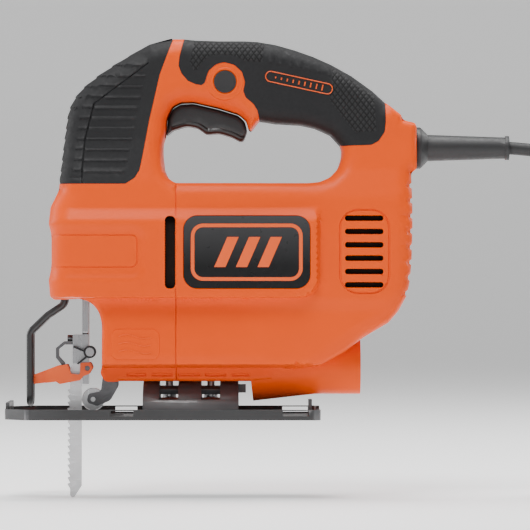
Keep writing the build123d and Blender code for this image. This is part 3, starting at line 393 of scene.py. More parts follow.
badge_box = (10.6, 78.1, 70.1, 108.9)
scoop_box = (-90.0, -8.1, 74.5, 104.2)
scoop_inner = (-90.0, -13.9, 81.5, 98.6)
vent_box = (0.9, 6.2, 70.2, 108.6)
grille_box = (94.0, 120.1, 67.6, 112.0)
icon_box = (-28.0, -2.3, 32.3, 48.4)
louvre_levels = [89.8 + 7.1 * (row - 2.5) for row in range(6)]
louvres = [(96.7, 116.9, level - 1.35, level + 1.35) for level in louvre_levels]
belly_spans = ((-20, -9.7), (-6.8, 4.5), (7.7, 19.3), (21.9, 33.2), (36.2, 45.7))
belly_slots = [(low, high, 23.1, 24.5) for low, high in belly_spans]
back_ribs = [125.0 - 8.18 * row for row in range(8)]


def flank(x, z):
    """Half width of the housing before its edges are rounded and its details cut."""
    body = np.interp(z, [20, 27.5, 29.7, 34, 44, 54, 61, 64.7, 66, 100, 114, 127, 150, 170, 210],
                     [15.4, 15.4, 27.6, 28.3, 27.6, 26.2, 25.4, 25.8, 29, 29, 28.8, 26.6, 20.5, 18, 17.6])
    rear = np.interp(z, [20, 27.6, 29.6, 45, 58, 64.6, 100, 118, 134, 150, 170, 210],
                     [15.4, 15.4, 27.6, 27.8, 27.4, 28.6, 28.6, 26.5, 21.5, 18.4, 17.6, 17.4])
    share = ramp(x, 25, 92)
    width = body * (1 - share) + rear * share
    cheek = pill(x, z, (-110, 83.5, 65.0, 150), 11)
    side = ramp(-cheek, 0, np.interp(x, [71, 84], [0.45, 2.2])) * ramp(114.2 - z, 0, 9.5)
    return width + (33.0 - width) * side


def rounded(x, z, wide):
    """Flank with every outer edge and the rim of the hand hole rounded."""
    parts = [(crown_part, np.interp(x, [-60, -35, 0, 130], [11, 11, 10, 9.5])),
             (nose_part, np.full(len(x), 13.0)), (throat_part, np.full(len(x), 3.0)),
             (belly_part, np.full(len(x), 2.2)),
             (tail_part, np.interp(z, [22, 45, 75], [5.0, 9.0, 7.0])), (rear_part, np.full(len(x), 4.0)),
             (hand_hole, np.interp(z, [126, 140, 160], [6.0, 8.0, 8.5]))]
    total = np.zeros(len(x))
    for line, radius in parts:
        gap = distance(x, z, line, closed=line is hand_hole)
        total += drop(gap, radius) ** 3
    return np.maximum(wide - np.cbrt(total), 1.2)


def details(x, z):
    """What is cut into the orange flank, in millimetres of depth."""
    cut = np.zeros(len(x))
    cut += 1.5 * ramp(-pill(x, z, scoop_box, 9), 0, 4.5)
    cut += 0.45 * ramp(0.5 - np.abs(pill(x, z, scoop_inner, 3.2)), 0, 0.25)
    cut += 1.0 * ramp(-pill(x, z, badge_box, 7.5), -0.1, 0.1)
    cut += 4.5 * ramp(-pill(x, z, vent_box, 2.2), -0.15, 0.15)
    cut += 0.7 * ramp(0.55 - np.abs(pill(x, z, grille_box, 9.7)), 0, 0.25)
    for slot in louvres:
        cut += 4.0 * ramp(-pill(x, z, slot, 1.2), -0.12, 0.12)
    for slot in belly_slots:
        cut += 0.9 * ramp(-pill(x, z, slot, 0.6), -0.1, 0.1)
    cut -= 0.45 * ramp(-pill(x, z, icon_box, 4), -0.15, 0.15)
    seam = ramp(0.32 - np.abs(x - 6.5), 0, 0.15) * (z < 126.5)
    cut += 0.7 * seam * (pill(x, z, badge_box, 7.5) > 0.2)
    for level in back_ribs:
        edge = np.interp(z, [50, 55, 65, 75, 140], [117, 119, 125, 129, 129])
        cut += 1.3 * ramp(x, edge, edge + 0.8) * ramp(1.45 - np.abs(z - level), 0, 0.4)
    edge = np.interp(z, [43.4, 55, 65, 75, 133], [106, 117, 125, 129, 129.6])
    cut += 0.5 * ramp(0.45 - np.abs(x - edge), 0, 0.3) * (z < 131) * (z > 44)
    return cut


def sheet_mesh(outline, holes, loops, step, extra=()):
    """Fine triangles over a flat region, lined up with its outline and with the loops of its details."""
    border = [outline] + list(holes)
    points, edges = [], []
    for loop in border + list(loops):
        first = len(points)
        points += [tuple(point) for point in loop]
        edges += [(first + n, first + (n + 1) % len(loop)) for n in range(len(loop))]
    filler = []
    for loop in border:
        ahead, behind = np.roll(loop, -1, axis=0), np.roll(loop, 1, axis=0)
        way = ahead - behind
        way /= np.maximum(np.linalg.norm(way, axis=1), 1e-9)[:, None]
        area = np.sum(loop[:, 0] * np.roll(loop[:, 1], -1) - loop[:, 1] * np.roll(loop[:, 0], -1))
        normal = np.column_stack([-way[:, 1], way[:, 0]]) * (1 if area > 0 else -1)
        if loop is not outline:
            normal = -normal
        for depth in (0.12, 0.4, 0.85, 1.45, 2.2, 3.1, 4.2, 5.5):
            ring = loop + normal * depth
            ring = ring[::max(1, int(depth / 1.2))]
            filler.append((ring, depth))
    kept = []
    for ring, depth in filler:
        gap = np.minimum.reduce([distance(ring[:, 0], ring[:, 1], line, closed=True) for line in border])
        kept.append(ring[gap > depth * 0.93])
    low, high = outline.min(axis=0), outline.max(axis=0)
    xs, zs = np.meshgrid(np.arange(low[0], high[0], step), np.arange(low[1], high[1], step * 0.87))
    xs = xs + (np.arange(xs.shape[0]) % 2)[:, None] * step / 2
    grid = np.column_stack([xs.ravel(), zs.ravel()])
    gap = np.minimum.reduce([distance(grid[:, 0], grid[:, 1], line, closed=True) for line in border])
    kept.append(grid[gap > 6.2])
    kept += [np.array(more) for more in extra]
    free = np.vstack(kept)
    good = inside(free[:, 0], free[:, 1], outline)
    for hole in holes:
        good &= ~inside(free[:, 0], free[:, 1], hole)
    free = free[good]
    if loops:
        lines = np.vstack(loops)
        tree = {}
        for px, pz in lines:
            tree.setdefault((int(px // 2), int(pz // 2)), []).append((px, pz))
        clear = np.ones(len(free), bool)
        for number, (px, pz) in enumerate(free):
            cell = (int(px // 2), int(pz // 2))
            for cx in (-1, 0, 1):
                for cz in (-1, 0, 1):
                    for qx, qz in tree.get((cell[0] + cx, cell[1] + cz), ()):
                        if (px - qx) ** 2 + (pz - qz) ** 2 < 0.2:
                            clear[number] = False
        free = free[clear]
    everything = [Vector(point) for point in points] + [Vector(point) for point in free]
    done = geometry.delaunay_2d_cdt(everything, edges, [], 0, 1e-6)
    flat = np.array([tuple(vertex) for vertex in done[0]])
    faces = np.array([face for face in done[2] if len(face) == 3])
    centre = flat[faces].mean(axis=1)
    good = inside(centre[:, 0], centre[:, 1], outline)
    for hole in holes:
        good &= ~inside(centre[:, 0], centre[:, 1], hole)
    return flat, faces[good]


def border_edges(faces):
    """Directed edges that only one triangle has."""
    seen = {}
    for a, b, c in faces:
        for start, stop in ((a, b), (b, c), (c, a)):
            seen[(start, stop)] = True
    return [edge for edge in seen if (edge[1], edge[0]) not in seen]


def flank_piece(name, flat, faces, height, wall_depth, material, side, body="tool_body"):
    """Skin over a flat region at that height from the middle plane, with walls round its border."""
    x, z = flat[:, 0], flat[:, 1]
    wide = height(x, z)
    edges = border_edges(faces)
    used = sorted({vertex for edge in edges for vertex in edge})
    lower = {vertex: len(flat) + number for number, vertex in enumerate(used)}
    floor = wall_depth(x[used], z[used], wide[used])
    points = [(px * MM, side * py * MM, pz * MM) for px, py, pz in zip(x, wide, z)]
    points += [(x[v] * MM, side * f * MM, z[v] * MM) for v, f in zip(used, floor)]
    skin = [tuple(face) for face in faces]
    skin += [(start, lower[start], lower[stop], stop) for start, stop in edges]
    area = np.cross(flat[faces[0][1]] - flat[faces[0][0]], flat[faces[0][2]] - flat[faces[0][0]])
    if (area > 0) == (side > 0):
        skin = [face[::-1] for face in skin]
    piece = new_mesh(name, points, skin, material, body)
    piece.data.set_sharp_from_angle(angle=math.radians(32))
    return piece


orange = Finish("orange_nylon", (0.76, 0.072, 0.0005), 0.38, Specular_IOR_Level=0.12)
orange.shade(orange.noise(18.0, 4.0), (0.72, 0.066, 0.0003), (0.79, 0.076, 0.0005))
orange.rough(orange.noise(700.0, 2.0), 0.32, 0.42)
orange.bump(orange.noise(3800.0, 2.0), 0.00003)
orange.worn((0.90, 0.16, 0.01), 0.2)
# Near-black brown: the own colour of the black parts inside, and painted shade on the floors of the vent and
# louvre slots.
black_and_slot_shade = Finish("black_parts_and_slot_shade", (0.012, 0.007, 0.005), 0.7, Specular_IOR_Level=0.1)
black_and_slot_shade.rough(black_and_slot_shade.noise(400.0), 0.5, 0.7)

cut_loops = []
for grow in (-0.16, 0.16):
    cut_loops.append(pill_line(badge_box, 7.5, grow, 2.0))
    cut_loops.append(pill_line(vent_box, 2.2, grow, 1.5))
    cut_loops.append(pill_line(icon_box, 4, grow, 2.0))
    cut_loops += [pill_line(slot, 1.2, grow, 1.2) for slot in louvres]
    cut_loops += [pill_line(slot, 0.6, grow, 1.5) for slot in belly_slots]
for grow in (-0.6, -0.3, 0.3, 0.6):
    cut_loops.append(pill_line(grille_box, 9.7, grow, 1.6))
for grow in (0.05, -0.5):
    cut_loops.append(pill_line((-57.0, 83.5, 65.0, 113.8), 11, grow, 2.0))
cut_loops.append(fine([(-32.0, 27.5), (64.0, 27.5), (64.0, 29.7), (-32.0, 29.7)], 2.0))
for left, right in ((6.15, 6.85), (6.33, 6.67)):
    cut_loops.append(fine([(left, 21), (right, 21), (right, 69.5), (left, 69.5)], 3.0))
    cut_loops.append(fine([(left, 109.6), (right, 109.6), (right, 125.6), (left, 125.6)], 3.0))
for grow in (-0.5, -0.2, 0.2, 0.5):
    cut_loops.append(pill_line((-58.0, scoop_inner[1], scoop_inner[2], scoop_inner[3]), 3.2, grow, 1.6))


def shifted(loop, amount, sign=1):
    """Closed line moved inwards, at each point by its own amount."""
    way = np.roll(loop, -1, axis=0) - np.roll(loop, 1, axis=0)
    way /= np.maximum(np.linalg.norm(way, axis=1), 1e-9)[:, None]
    area = np.sum(loop[:, 0] * np.roll(loop[:, 1], -1) - loop[:, 1] * np.roll(loop[:, 0], -1))
    normal = np.column_stack([-way[:, 1], way[:, 0]]) * (sign if area > 0 else -sign)
    return loop + normal * amount[:, None]


nose_pad_line = fine([(-55.6, 126.0)] + front_line[::-1] + [(3.9, 204.2), (4.6, 203.4), (-2.4, 184.7),
                     (-8, 160), (-11.4, 141.3), (-13, 133.3), (-15.5, 129.2), (-20.4, 126.0)], 0.6)
grip_front = [(51, 160.6), (50, 165.3), (47.9, 168.8), (43.8, 172.2), (42.4, 175.7), (43.4, 180.5),
              (41.7, 186), (37.6, 189.8), (32.1, 191.2), (27.9, 190.1), (23.8, 186.7), (22.4, 182.5),
              (21.8, 180.1), (20, 178.9), (16.9, 179.4), (12.8, 181.2), (9.3, 185.3), (7.8, 189.4),
              (8.3, 194.2), (10.7, 203.9)]
grip_rear = [(118.4, 169.8), (118.6, 159.5), (118, 153.9), (114.9, 149.1), (110.9, 146.9), (94.9, 146.4)]
grip_line = fine(grip_front + top_line[::-1][2:] + grip_rear + hand_line[1:6][::-1], 0.7)
outer_pads = ramp(outer_line[:, 1], 125.6, 127) * ramp(4.2 - outer_line[:, 0], 0, 1.2)
outer_pads += ramp(outer_line[:, 0], 11, 12.5) * ramp(outer_line[:, 1], 169.6, 171)
rib_notch = np.zeros(len(outer_line))
for level in back_ribs:
    rib_notch += 1.2 * ramp(1.5 - np.abs(outer_line[:, 1] - level), 0, 0.5) * (outer_line[:, 0] > 118)
housing_line = shifted(outer_line, np.clip(outer_pads, 0, 1) + rib_notch)
hole_pads = ramp(hand_hole[:, 0], 50.4, 52) * ramp(hand_hole[:, 1], 146, 148)
housing_hole = shifted(hand_hole, 1.0 * hole_pads, -1)


pad_depth = 1.5         # how deep the pads lie in the nylon


def orange_height(x, z):
    """Orange skin: crowned, cut, and set back under the pads."""
    under = inside(x, z, nose_pad_line) | inside(x, z, grip_line)
    return np.maximum(rounded(x, z, flank(x, z)) - details(x, z) - pad_depth * under, 0.5)


mouth_half = 9.8        # half width of the trigger's mouth
passage_half = 11.4     # half width of the way that the blade clamp rises in
parting_gap = 0.12      # from the middle plane to each half


def housing_floor(x, z, wide):
    """Walls run in to the middle, and stop beside the trigger's mouth and the blade clamp's way up."""
    mouth = (x > 0.2) & (x < 46.6) & (z > 151) & (z < 171)
    passage = (x > -52) & (x < -32.5) & (z > 52) & (z < 68)
    return np.where(mouth, mouth_half, np.where(passage, passage_half, parting_gap))


for line in (nose_pad_line[::2], grip_line[::2]):
    for amount in (-0.12, 0.12):
        cut_loops.append(shifted(line, np.full(len(line), amount)))
flat, faces = sheet_mesh(housing_line, [housing_hole], cut_loops, 1.9)
for side, label in ((-1, "left"), (1, "right")):
    piece = flank_piece("housing_" + label, flat, faces, orange_height, housing_floor, orange.material, side)
    piece.data.materials.append(black_and_slot_shade.material)
    middle = flat[faces].mean(axis=1)
    # The floors of the vent and the louvres take the dark brown finish: painted shade where the real slots
    # open into the dark inside.
    dark = pill(middle[:, 0], middle[:, 1], vent_box, 2.2) < 0.05
    for slot in louvres:
        dark |= pill(middle[:, 0], middle[:, 1], slot, 1.2) < 0.05
    for number in np.nonzero(dark)[0]:
        piece.data.polygons[int(number)].material_index = 1
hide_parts("front_housing_left", "rear_housing_left")
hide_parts("front_housing_right", "rear_housing_right")


# ============ Soft pads on the nose and the handle ============
# Dark rubber moulded over the nylon. The nose pad has shingled ribs round its front, and the
# handle pad has diamond knurling, with plain ridges along the top.
rubber = Finish("soft_rubber", (0.014, 0.014, 0.015), 0.62, Specular_IOR_Level=0.2)
rubber.shade(rubber.noise(30.0, 4.0), (0.012, 0.012, 0.013), (0.018, 0.018, 0.019))
rubber.rough(rubber.noise(600.0, 2.0), 0.55, 0.72)
rubber.bump(rubber.noise(3200.0, 2.0), 0.00005)
rubber.worn((0.10, 0.10, 0.10), 0.5)
knurled = Finish("knurled_rubber", (0.014, 0.014, 0.015), 0.66, Specular_IOR_Level=0.2)


def diamond(finish, pitch, depth):
    """Diamond knurl from two crossed sets of waves over the flank."""
    split = finish.nodes.new("ShaderNodeSeparateXYZ")
    finish.link(finish.place, split.inputs["Vector"])
    waves = []
    for lean in (0.8, -0.8):
        slope = finish.nodes.new("ShaderNodeMath")
        slope.operation = "MULTIPLY_ADD"
        slope.inputs[1].default_value = lean
        finish.link(split.outputs["Z"], slope.inputs[0])
        finish.link(split.outputs["X"], slope.inputs[2])
        turn = finish.nodes.new("ShaderNodeMath")
        turn.operation = "MULTIPLY"
        turn.inputs[1].default_value = math.pi / pitch
        finish.link(slope.outputs["Value"], turn.inputs[0])
        wave = finish.nodes.new("ShaderNodeMath")
        wave.operation = "SINE"
        finish.link(turn.outputs["Value"], wave.inputs[0])
        size = finish.nodes.new("ShaderNodeMath")
        size.operation = "ABSOLUTE"
        finish.link(wave.outputs["Value"], size.inputs[0])
        waves.append(size.outputs["Value"])
    both = finish.nodes.new("ShaderNodeMath")
    both.operation = "MINIMUM"
    finish.link(waves[0], both.inputs[0])
    finish.link(waves[1], both.inputs[1])
    # The grooves are painted darker than the peaks: painted shade in the knurl.
    finish.shade(finish.spread(both.outputs["Value"], 0.0, 1.0, 0.0, 0.6), (0.004, 0.004, 0.004),
                 (0.022, 0.022, 0.023))
    finish.bump(both.outputs["Value"], depth)


diamond(knurled, 0.0031, 0.0004)
knurled.rough(knurled.noise(500.0), 0.58, 0.75)
rib_pitch = 5.66
front_crease = np.array([(-8.6, 190.5), (-37.3, 169.0), (-42.0, 150.0), (-43.4, 133.4), (-43.4, 120.0)])
front_panel = [(16.2, 202.4), (14.9, 197.1), (14, 190.6), (15.7, 186.8), (17.6, 186.8), (19.4, 190.1),
               (23.8, 194.4), (30.8, 195.5), (38.3, 194.4), (43.2, 191.7), (52.6, 191.2), (53.6, 201.4)]
rear_panel = [(90.4, 188.4), (112.3, 173.6), (113.7, 154.2), (102.1, 153.6), (88.6, 170.6)]
ridge_panel = [(54.4, 201.2), (54.4, 191.0), (89.6, 183.8), (89.6, 189.0)]


def nose_height(x, z):
    """Crowned flank with thin raised ribs on the side and shingles round the front."""
    wide = rounded(x, z, flank(x, z))
    phase = ((z - 132.9) / rib_pitch) % 1.0
    edge_x = np.interp(z, front_crease[::-1, 1], front_crease[::-1, 0])
    rear_x = np.interp(z, [126, 133, 141, 160, 185, 204], [-27, -20.5, -18.5, -15, -9.5, -3])
    line = ramp(0.13 - np.minimum(phase, 1 - phase), 0, 0.06) * 0.8
    panel = ramp(x, edge_x, edge_x + 0.6) * ramp(rear_x - x, 0, 0.6) * (z > 131) * (z < 188)
    shingle = (1 - phase) * 1.0 * ramp(edge_x - x, 0, 0.8) * ramp(z, 129, 131) * ramp(196 - z, 0, 4)
    groove = 0.35 * ramp(0.5 - distance(x, z, front_crease), 0, 0.3)
    return wide - 0.3 * panel + line * panel + shingle - 0.5 * (shingle > 0) - groove


crease_loops = []
for gap in (0.2, 0.55):
    sides = [front_crease + (gap, 0), front_crease[::-1] - (gap, 0)]
    crease_loops.append(fine(np.vstack(sides), 1.0))
front_wave = ramp(-15 - nose_pad_line[:, 0], 0, 10) * ramp(nose_pad_line[:, 1], 129, 131)
front_wave *= inside(nose_pad_line[:, 0], nose_pad_line[:, 1], np.array([(-70, 127), (-45, 130), (-36, 170),
                                                                         (0, 196), (0, 210), (-70, 210)]))
shingles = shifted(nose_pad_line, 0.75 * front_wave * (((nose_pad_line[:, 1] - 132.9) / rib_pitch) % 1.0))


def grip_height(x, z):
    """Crowned flank with raised panels, the middle one ridged."""
    wide = rounded(x, z, flank(x, z))
    for panel in (front_panel, rear_panel):
        line = np.array(panel)
        wide = wide + 0.35 * ramp(distance(x, z, line, closed=True), 0, 0.5) * inside(x, z, line)
    line = np.array(ridge_panel)
    along = ((x - 54.4) / 5.0) % 1.0
    ridge = ramp(np.minimum(along, 1 - along), 0.02, 0.14)
    wide = wide + 0.5 * ridge * inside(x, z, line) * ramp(distance(x, z, line, closed=True), 0, 0.6)
    return wide


rim_band = 1.2          # a pad's edge this near the outline is on the rim
pad_gap = 0.1           # from the middle plane to each half of a pad


def pad_floor(lines):
    """Pad walls: to the middle plane along the rim, and just under the nylon elsewhere."""
    def floor(x, z, wide):
        gap = np.minimum.reduce([distance(x, z, line, closed=True) for line in lines])
        return np.where(gap < rim_band, pad_gap, np.maximum(wide - pad_depth - 0.1, pad_gap))
    return floor


pads = []
for name, line, height, size, node in (("nose_pad", shingles, nose_height, 0.95, "nose_grip_"),
                                       ("handle_pad", grip_line, grip_height, 1.25, "handle_grip_")):
    panel_loops = [fine(panel, 1.2) for panel in ((front_panel, rear_panel, ridge_panel)
                                                  if name == "handle_pad" else ())]
    creases = [] if name == "handle_pad" else crease_loops
    flat, faces = sheet_mesh(line, [], creases, size, panel_loops)
    for side, label in ((-1, "left"), (1, "right")):
        piece = flank_piece(name + "_" + label, flat, faces, height,
                            pad_floor([outer_line[::2], hand_hole[::2]]), rubber.material, side)
        if name == "handle_pad":
            piece.data.materials.append(knurled.material)
            middle = flat[faces].mean(axis=1)
            rough_zone = np.zeros(len(faces), bool)
            for panel in (front_panel, rear_panel):
                rough_zone |= inside(middle[:, 0], middle[:, 1], np.array(panel))
            for number in np.nonzero(rough_zone)[0]:
                piece.data.polygons[int(number)].material_index = 1
        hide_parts(node + label)
        pads.append(piece)


# ============ Badge plates ============
# A thin black printed plate sits in a recess on each flank. Its mark is a plain slanted-bar sign
# of its own, inside a rounded orange frame.
def dress(nodes, finish, edge=0.0):
    """Gives CAD pieces that finish, and breaks their sharp edges by that many millimetres."""
    for node in nodes:
        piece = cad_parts[node]
        for slot in piece.material_slots:
            slot.material = finish.material
        if edge:
            weld = piece.modifiers.new("weld", "WELD")
            weld.merge_threshold = 0.00001
            soften_edge = piece.modifiers.new("edge", "BEVEL")
            soften_edge.width = edge * MM
            soften_edge.segments = 2
            soften_edge.limit_method = "ANGLE"
            soften_edge.angle_limit = math.radians(38)
            soften_edge.harden_normals = True


badge_print_with_sheen = Finish("badge_print_with_sheen", (0.009, 0.009, 0.010), 0.32, Specular_IOR_Level=0.25)
# The print runs from near-black at the bottom to paler grey at the top: a painted highlight of the light
# from above.
painted_sheen_height = badge_print_with_sheen.nodes.new("ShaderNodeSeparateXYZ")
badge_print_with_sheen.link(badge_print_with_sheen.place, painted_sheen_height.inputs["Vector"])
badge_print_with_sheen.shade(badge_print_with_sheen.spread(painted_sheen_height.outputs["Z"], 0.0, 1.0, 0.082, 0.112),
                  (0.004, 0.004, 0.0045), (0.045, 0.045, 0.047))
badge_print_with_sheen.rough(badge_print_with_sheen.noise(300.0), 0.26, 0.38)
badge_print_with_sheen.bump(badge_print_with_sheen.noise(1500.0), 0.00001)
badge_orange = Finish("badge_orange", (0.80, 0.075, 0.003), 0.35)
badge_orange.shade(badge_orange.noise(40.0), (0.74, 0.08, 0.001), (0.80, 0.095, 0.002))
badge_orange.rough(badge_orange.noise(300.0), 0.3, 0.42)


def flat_bar(name, outer, inner, face, depth, side, material, body):
    """Thin plate between two closed lines, or a full plate when there is no inner line."""
    points, faces = [], []
    loops = [outer] if inner is None else [outer, inner]
    for loop in loops:
        for y in (face, face - depth):
            points += [(px * MM, side * y * MM, pz * MM) for px, pz in loop]
    count = len(outer)
    for number in range(count):
        after = (number + 1) % count
        faces.append((number, after, count + after, count + number))
        if inner is not None:
            base = 2 * count
            faces.append((base + number, base + count + number, base + count + after, base + after))
            faces.append((number, base + number, base + after, after))
    if inner is None:
        faces.append(tuple(range(count)))
    plate = new_mesh(name, points, faces, material, body, smooth=False)
    return plate


def even(loop, count):
    """Closed line with that many points, evenly spaced."""
    ends = np.vstack([loop, loop[:1]])
    run = np.concatenate([[0], np.cumsum(np.linalg.norm(np.diff(ends, axis=0), axis=1))])
    spots = np.linspace(0, run[-1], count, endpoint=False)
    return np.column_stack([np.interp(spots, run, ends[:, 0]), np.interp(spots, run, ends[:, 1])])


badge_face = 32.95      # half width at the printed face
print_depth = 0.1
plate_depth = 0.8
for side, label in ((-1, "left"), (1, "right")):
    plate = flat_bar("badge_plate_" + label, pill_line(badge_box, 7.3, -0.2, 1.0), None,
                     badge_face - print_depth, plate_depth, side, badge_print_with_sheen.material, "tool_body")
    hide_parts("badge_" + label)
for side, label in ((-1, "left"), (1, "right")):
    rim = flat_bar("badge_rim_" + label, even(pill_line((14.6, 74.0, 74.2, 104.6), 6.5, 0.0, 0.8), 160),
                   even(pill_line((16.5, 72.1, 76.1, 102.7), 4.6, 0.0, 0.8), 160), badge_face, print_depth,
                   side, badge_orange.material, "tool_body")
    for number in range(3):
        foot = 27.0 + 11.5 * number
        bar = flat_bar("badge_bar_%s_%d" % (label, number),
                       np.array([(foot, 81.5), (foot + 6, 81.5), (foot + 13, 97.5), (foot + 7, 97.5)]), None,
                       badge_face, print_depth, side, badge_orange.material, "tool_body")


# ============ Marks on the handle and the flank ============
# A raised oval with rising bars stands for the speed control, and a moulded wavy air sign stands
# for the chip blower. Both are plain signs of no maker's own.
def thread_line(name, points, radius, material, height, side, closed=False, lift=0.05):
    """Fine raised line laid on the flank."""
    line = np.array(points, float)
    wide = height(line[:, 0], line[:, 1]) + lift
    curve = bpy.data.curves.new(name, "CURVE")
    curve.dimensions = "3D"
    curve.bevel_depth = radius * MM
    curve.bevel_resolution = 2
    spline = curve.splines.new("POLY")
    spline.points.add(len(line) - 1)
    for knot, (px, pz), py in zip(spline.points, line, wide):
        knot.co = (px * MM, side * py * MM, pz * MM, 1.0)
    spline.use_cyclic_u = closed
    curve.materials.append(material)
    piece = bpy.data.objects.new(name, curve)
    bpy.context.collection.objects.link(piece)
    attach(piece, "tool_body")
    return piece


sign_centre = (72.2, 180.2)
lean = math.radians(-12.3)


def on_handle(u, v):
    """Point of the speed sign, which leans with the handle."""
    return (sign_centre[0] + u * math.cos(lean) - v * math.sin(lean),
            sign_centre[1] + u * math.sin(lean) + v * math.cos(lean))


for side, label in ((-1, "left"), (1, "right")):
    oval = np.array([on_handle(u, v) for u, v in pill_line((-18.2, 18.2, -2.75, 2.75), 2.7, 0.0, 0.8)])
    thread_line("speed_oval_" + label, oval, 0.28, badge_orange.material, grip_height, side, True)
    for number in range(9):
        u = -12.8 + 3.2 * number
        size = 0.5 + 0.13 * number
        ends = [on_handle(u, v) for v in (-size, size)]
        thread_line("speed_bar_%s_%d" % (label, number), ends, 0.38, badge_orange.material,
                            grip_height, side)
    for number in range(3):
        level = 36.4 + 4.0 * number
        wave = [(-24 + t * 0.6, level + 1.1 * math.sin(t * 0.6 / 3.0)) for t in range(30)]
        thread_line("air_wave_%s_%d" % (label, number), wave, 0.35, orange.material,
                            orange_height, side)


# ============ Trigger and lock button ============
# The trigger is a grey moulding with a rubbed lower lip, sprung in its mouth under the handle. The
# round lock button on the left sits in a raised orange collar.
trigger_grey = Finish("trigger_plastic", (0.022, 0.022, 0.023), 0.5)
trigger_grey.shade(trigger_grey.noise(60.0), (0.008, 0.008, 0.009), (0.014, 0.014, 0.015))
trigger_grey.rough(trigger_grey.noise(500.0), 0.42, 0.58)
trigger_grey.bump(trigger_grey.noise(2500.0), 0.00004)
trigger_grey.worn((0.12, 0.12, 0.12), 0.6)
trigger_side = [(1.8, 161.2), (4.5, 166.6), (8.6, 168.9), (15.6, 169.3), (29.3, 166.1), (39.6, 162.9),
                (43.2, 159.6), (44.4, 155), (44.1, 153.4), (42.6, 149.3), (40.7, 148.8), (36.2, 151.2),
                (29.3, 153.3), (22.6, 152.7), (17.6, 156.2), (12.1, 157.2), (4.5, 155), (0.9, 151.8)]
trigger_line = soften(fine(trigger_side, 0.6), 4)
lip_line = np.array([(0.5, 150), (4.5, 157.6), (12.1, 159.8), (18.5, 159.0), (24.0, 155.6), (29.6, 156.3),
                     (36.6, 154.2), (41.2, 151.8), (45.5, 151.5)])


def trigger_height(x, z):
    """Rounded finger piece with a groove above its lip."""
    rim = distance(x, z, trigger_line[::2], closed=True)
    groove = 0.5 * ramp(0.5 - distance(x, z, lip_line), 0, 0.3)
    return 9.4 - drop(rim, 2.6) - groove


trigger_lip = Finish("trigger_lip", (0.004, 0.004, 0.004), 0.35)
trigger_lip.rough(trigger_lip.noise(500.0), 0.3, 0.42)
flat, faces = sheet_mesh(trigger_line, [], [], 0.8)
for side, label in ((-1, "left"), (1, "right")):
    piece = flank_piece("trigger_" + label, flat, faces, trigger_height, lambda x, z, wide: np.zeros(len(x)),
                        trigger_grey.material, side, "trigger_button")
    piece.data.materials.append(trigger_lip.material)
    middle = flat[faces].mean(axis=1)
    lip_z = np.interp(middle[:, 0], lip_line[:, 0], lip_line[:, 1])
    for number in np.nonzero(middle[:, 1] < lip_z)[0]:
        piece.data.polygons[int(number)].material_index = 1
    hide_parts("trigger")
dress(["lock_button"], trigger_grey, 0.5)
dress(["switch_body"], black_and_slot_shade, 0.4)


def turned(name, profile, centre, axis, material, body, count=48):
    """Turned piece from (distance along the axis, radius) pairs in millimetres."""
    points, faces = [], []
    for along, radius in profile:
        for number in range(count):
            angle = 2 * math.pi * number / count
            u, v = radius * math.cos(angle), radius * math.sin(angle)
            spot = {"x": (along, u, v), "y": (u, along, v), "z": (u, v, along)}[axis]
            points.append(tuple((c + s) * MM for c, s in zip(centre, spot)))
    for row in range(len(profile) - 1):
        for number in range(count):
            after = (number + 1) % count
            a, b = row * count + number, row * count + after
            faces.append((a, b, b + count, a + count))
    piece = new_mesh(name, points, faces, material, body)
    bm = bmesh.new()
    bm.from_mesh(piece.data)
    bmesh.ops.recalc_face_normals(bm, faces=bm.faces)
    bm.to_mesh(piece.data)
    bm.free()
    piece.data.set_sharp_from_angle(angle=math.radians(35))
    return piece


collar = turned("button_collar", [(-14.0, 6.15), (-18.2, 6.15), (-18.6, 6.5), (-18.6, 7.3), (-18.3, 7.7),
                                  (-18.3, 8.4), (-18.1, 9.6), (-17.0, 10.2), (-15.0, 10.3)],
                (32.6, 0.0, 180.7), "y", orange.material, "tool_body")


# ============ Sole plate and its bevel saddle ============
# Pressed steel, painted black: an open-fronted plate with turned-up flanges, riveted to a curved
# saddle that lets it tilt under the housing.
black_steel = Finish("black_painted_steel", (0.011, 0.011, 0.012), 0.42, Metallic=0.0, Coat_Weight=0.2)
black_steel.shade(black_steel.noise(35.0, 5.0), (0.008, 0.008, 0.009), (0.018, 0.018, 0.019))
black_steel.rough(black_steel.noise(220.0), 0.32, 0.55)
black_steel.bump(black_steel.noise(1200.0, 3.0), 0.00003)
black_steel.worn((0.22, 0.22, 0.23), 0.8)
bright_steel = Finish("bright_steel", (0.42, 0.42, 0.43), 0.3, Metallic=1.0)
bright_steel.shade(bright_steel.noise(80.0), (0.36, 0.36, 0.37), (0.48, 0.48, 0.49))
bright_steel.rough(bright_steel.noise(900.0, 2.0, (1.0, 1.0, 0.1)), 0.24, 0.42)
bright_steel.bump(bright_steel.noise(2500.0, 2.0, (1.0, 1.0, 0.08)), 0.00001)
dress(["shoe_plate"], black_steel, 0.35)
dress(["bevel_saddle"], black_steel, 0.3)
dress(["bevel_clamp_plate"], black_steel, 0.3)
dress(["shoe_rivets", "bevel_clamp_screws", "housing_screws"], bright_steel, 0.15)


# ============ Blade guard ============
# One length of hard wire, bent to a loop round the blade and dipped black. Its ends are sprung
# into two holes in the housing.
dress(["guard_wire"], black_steel)


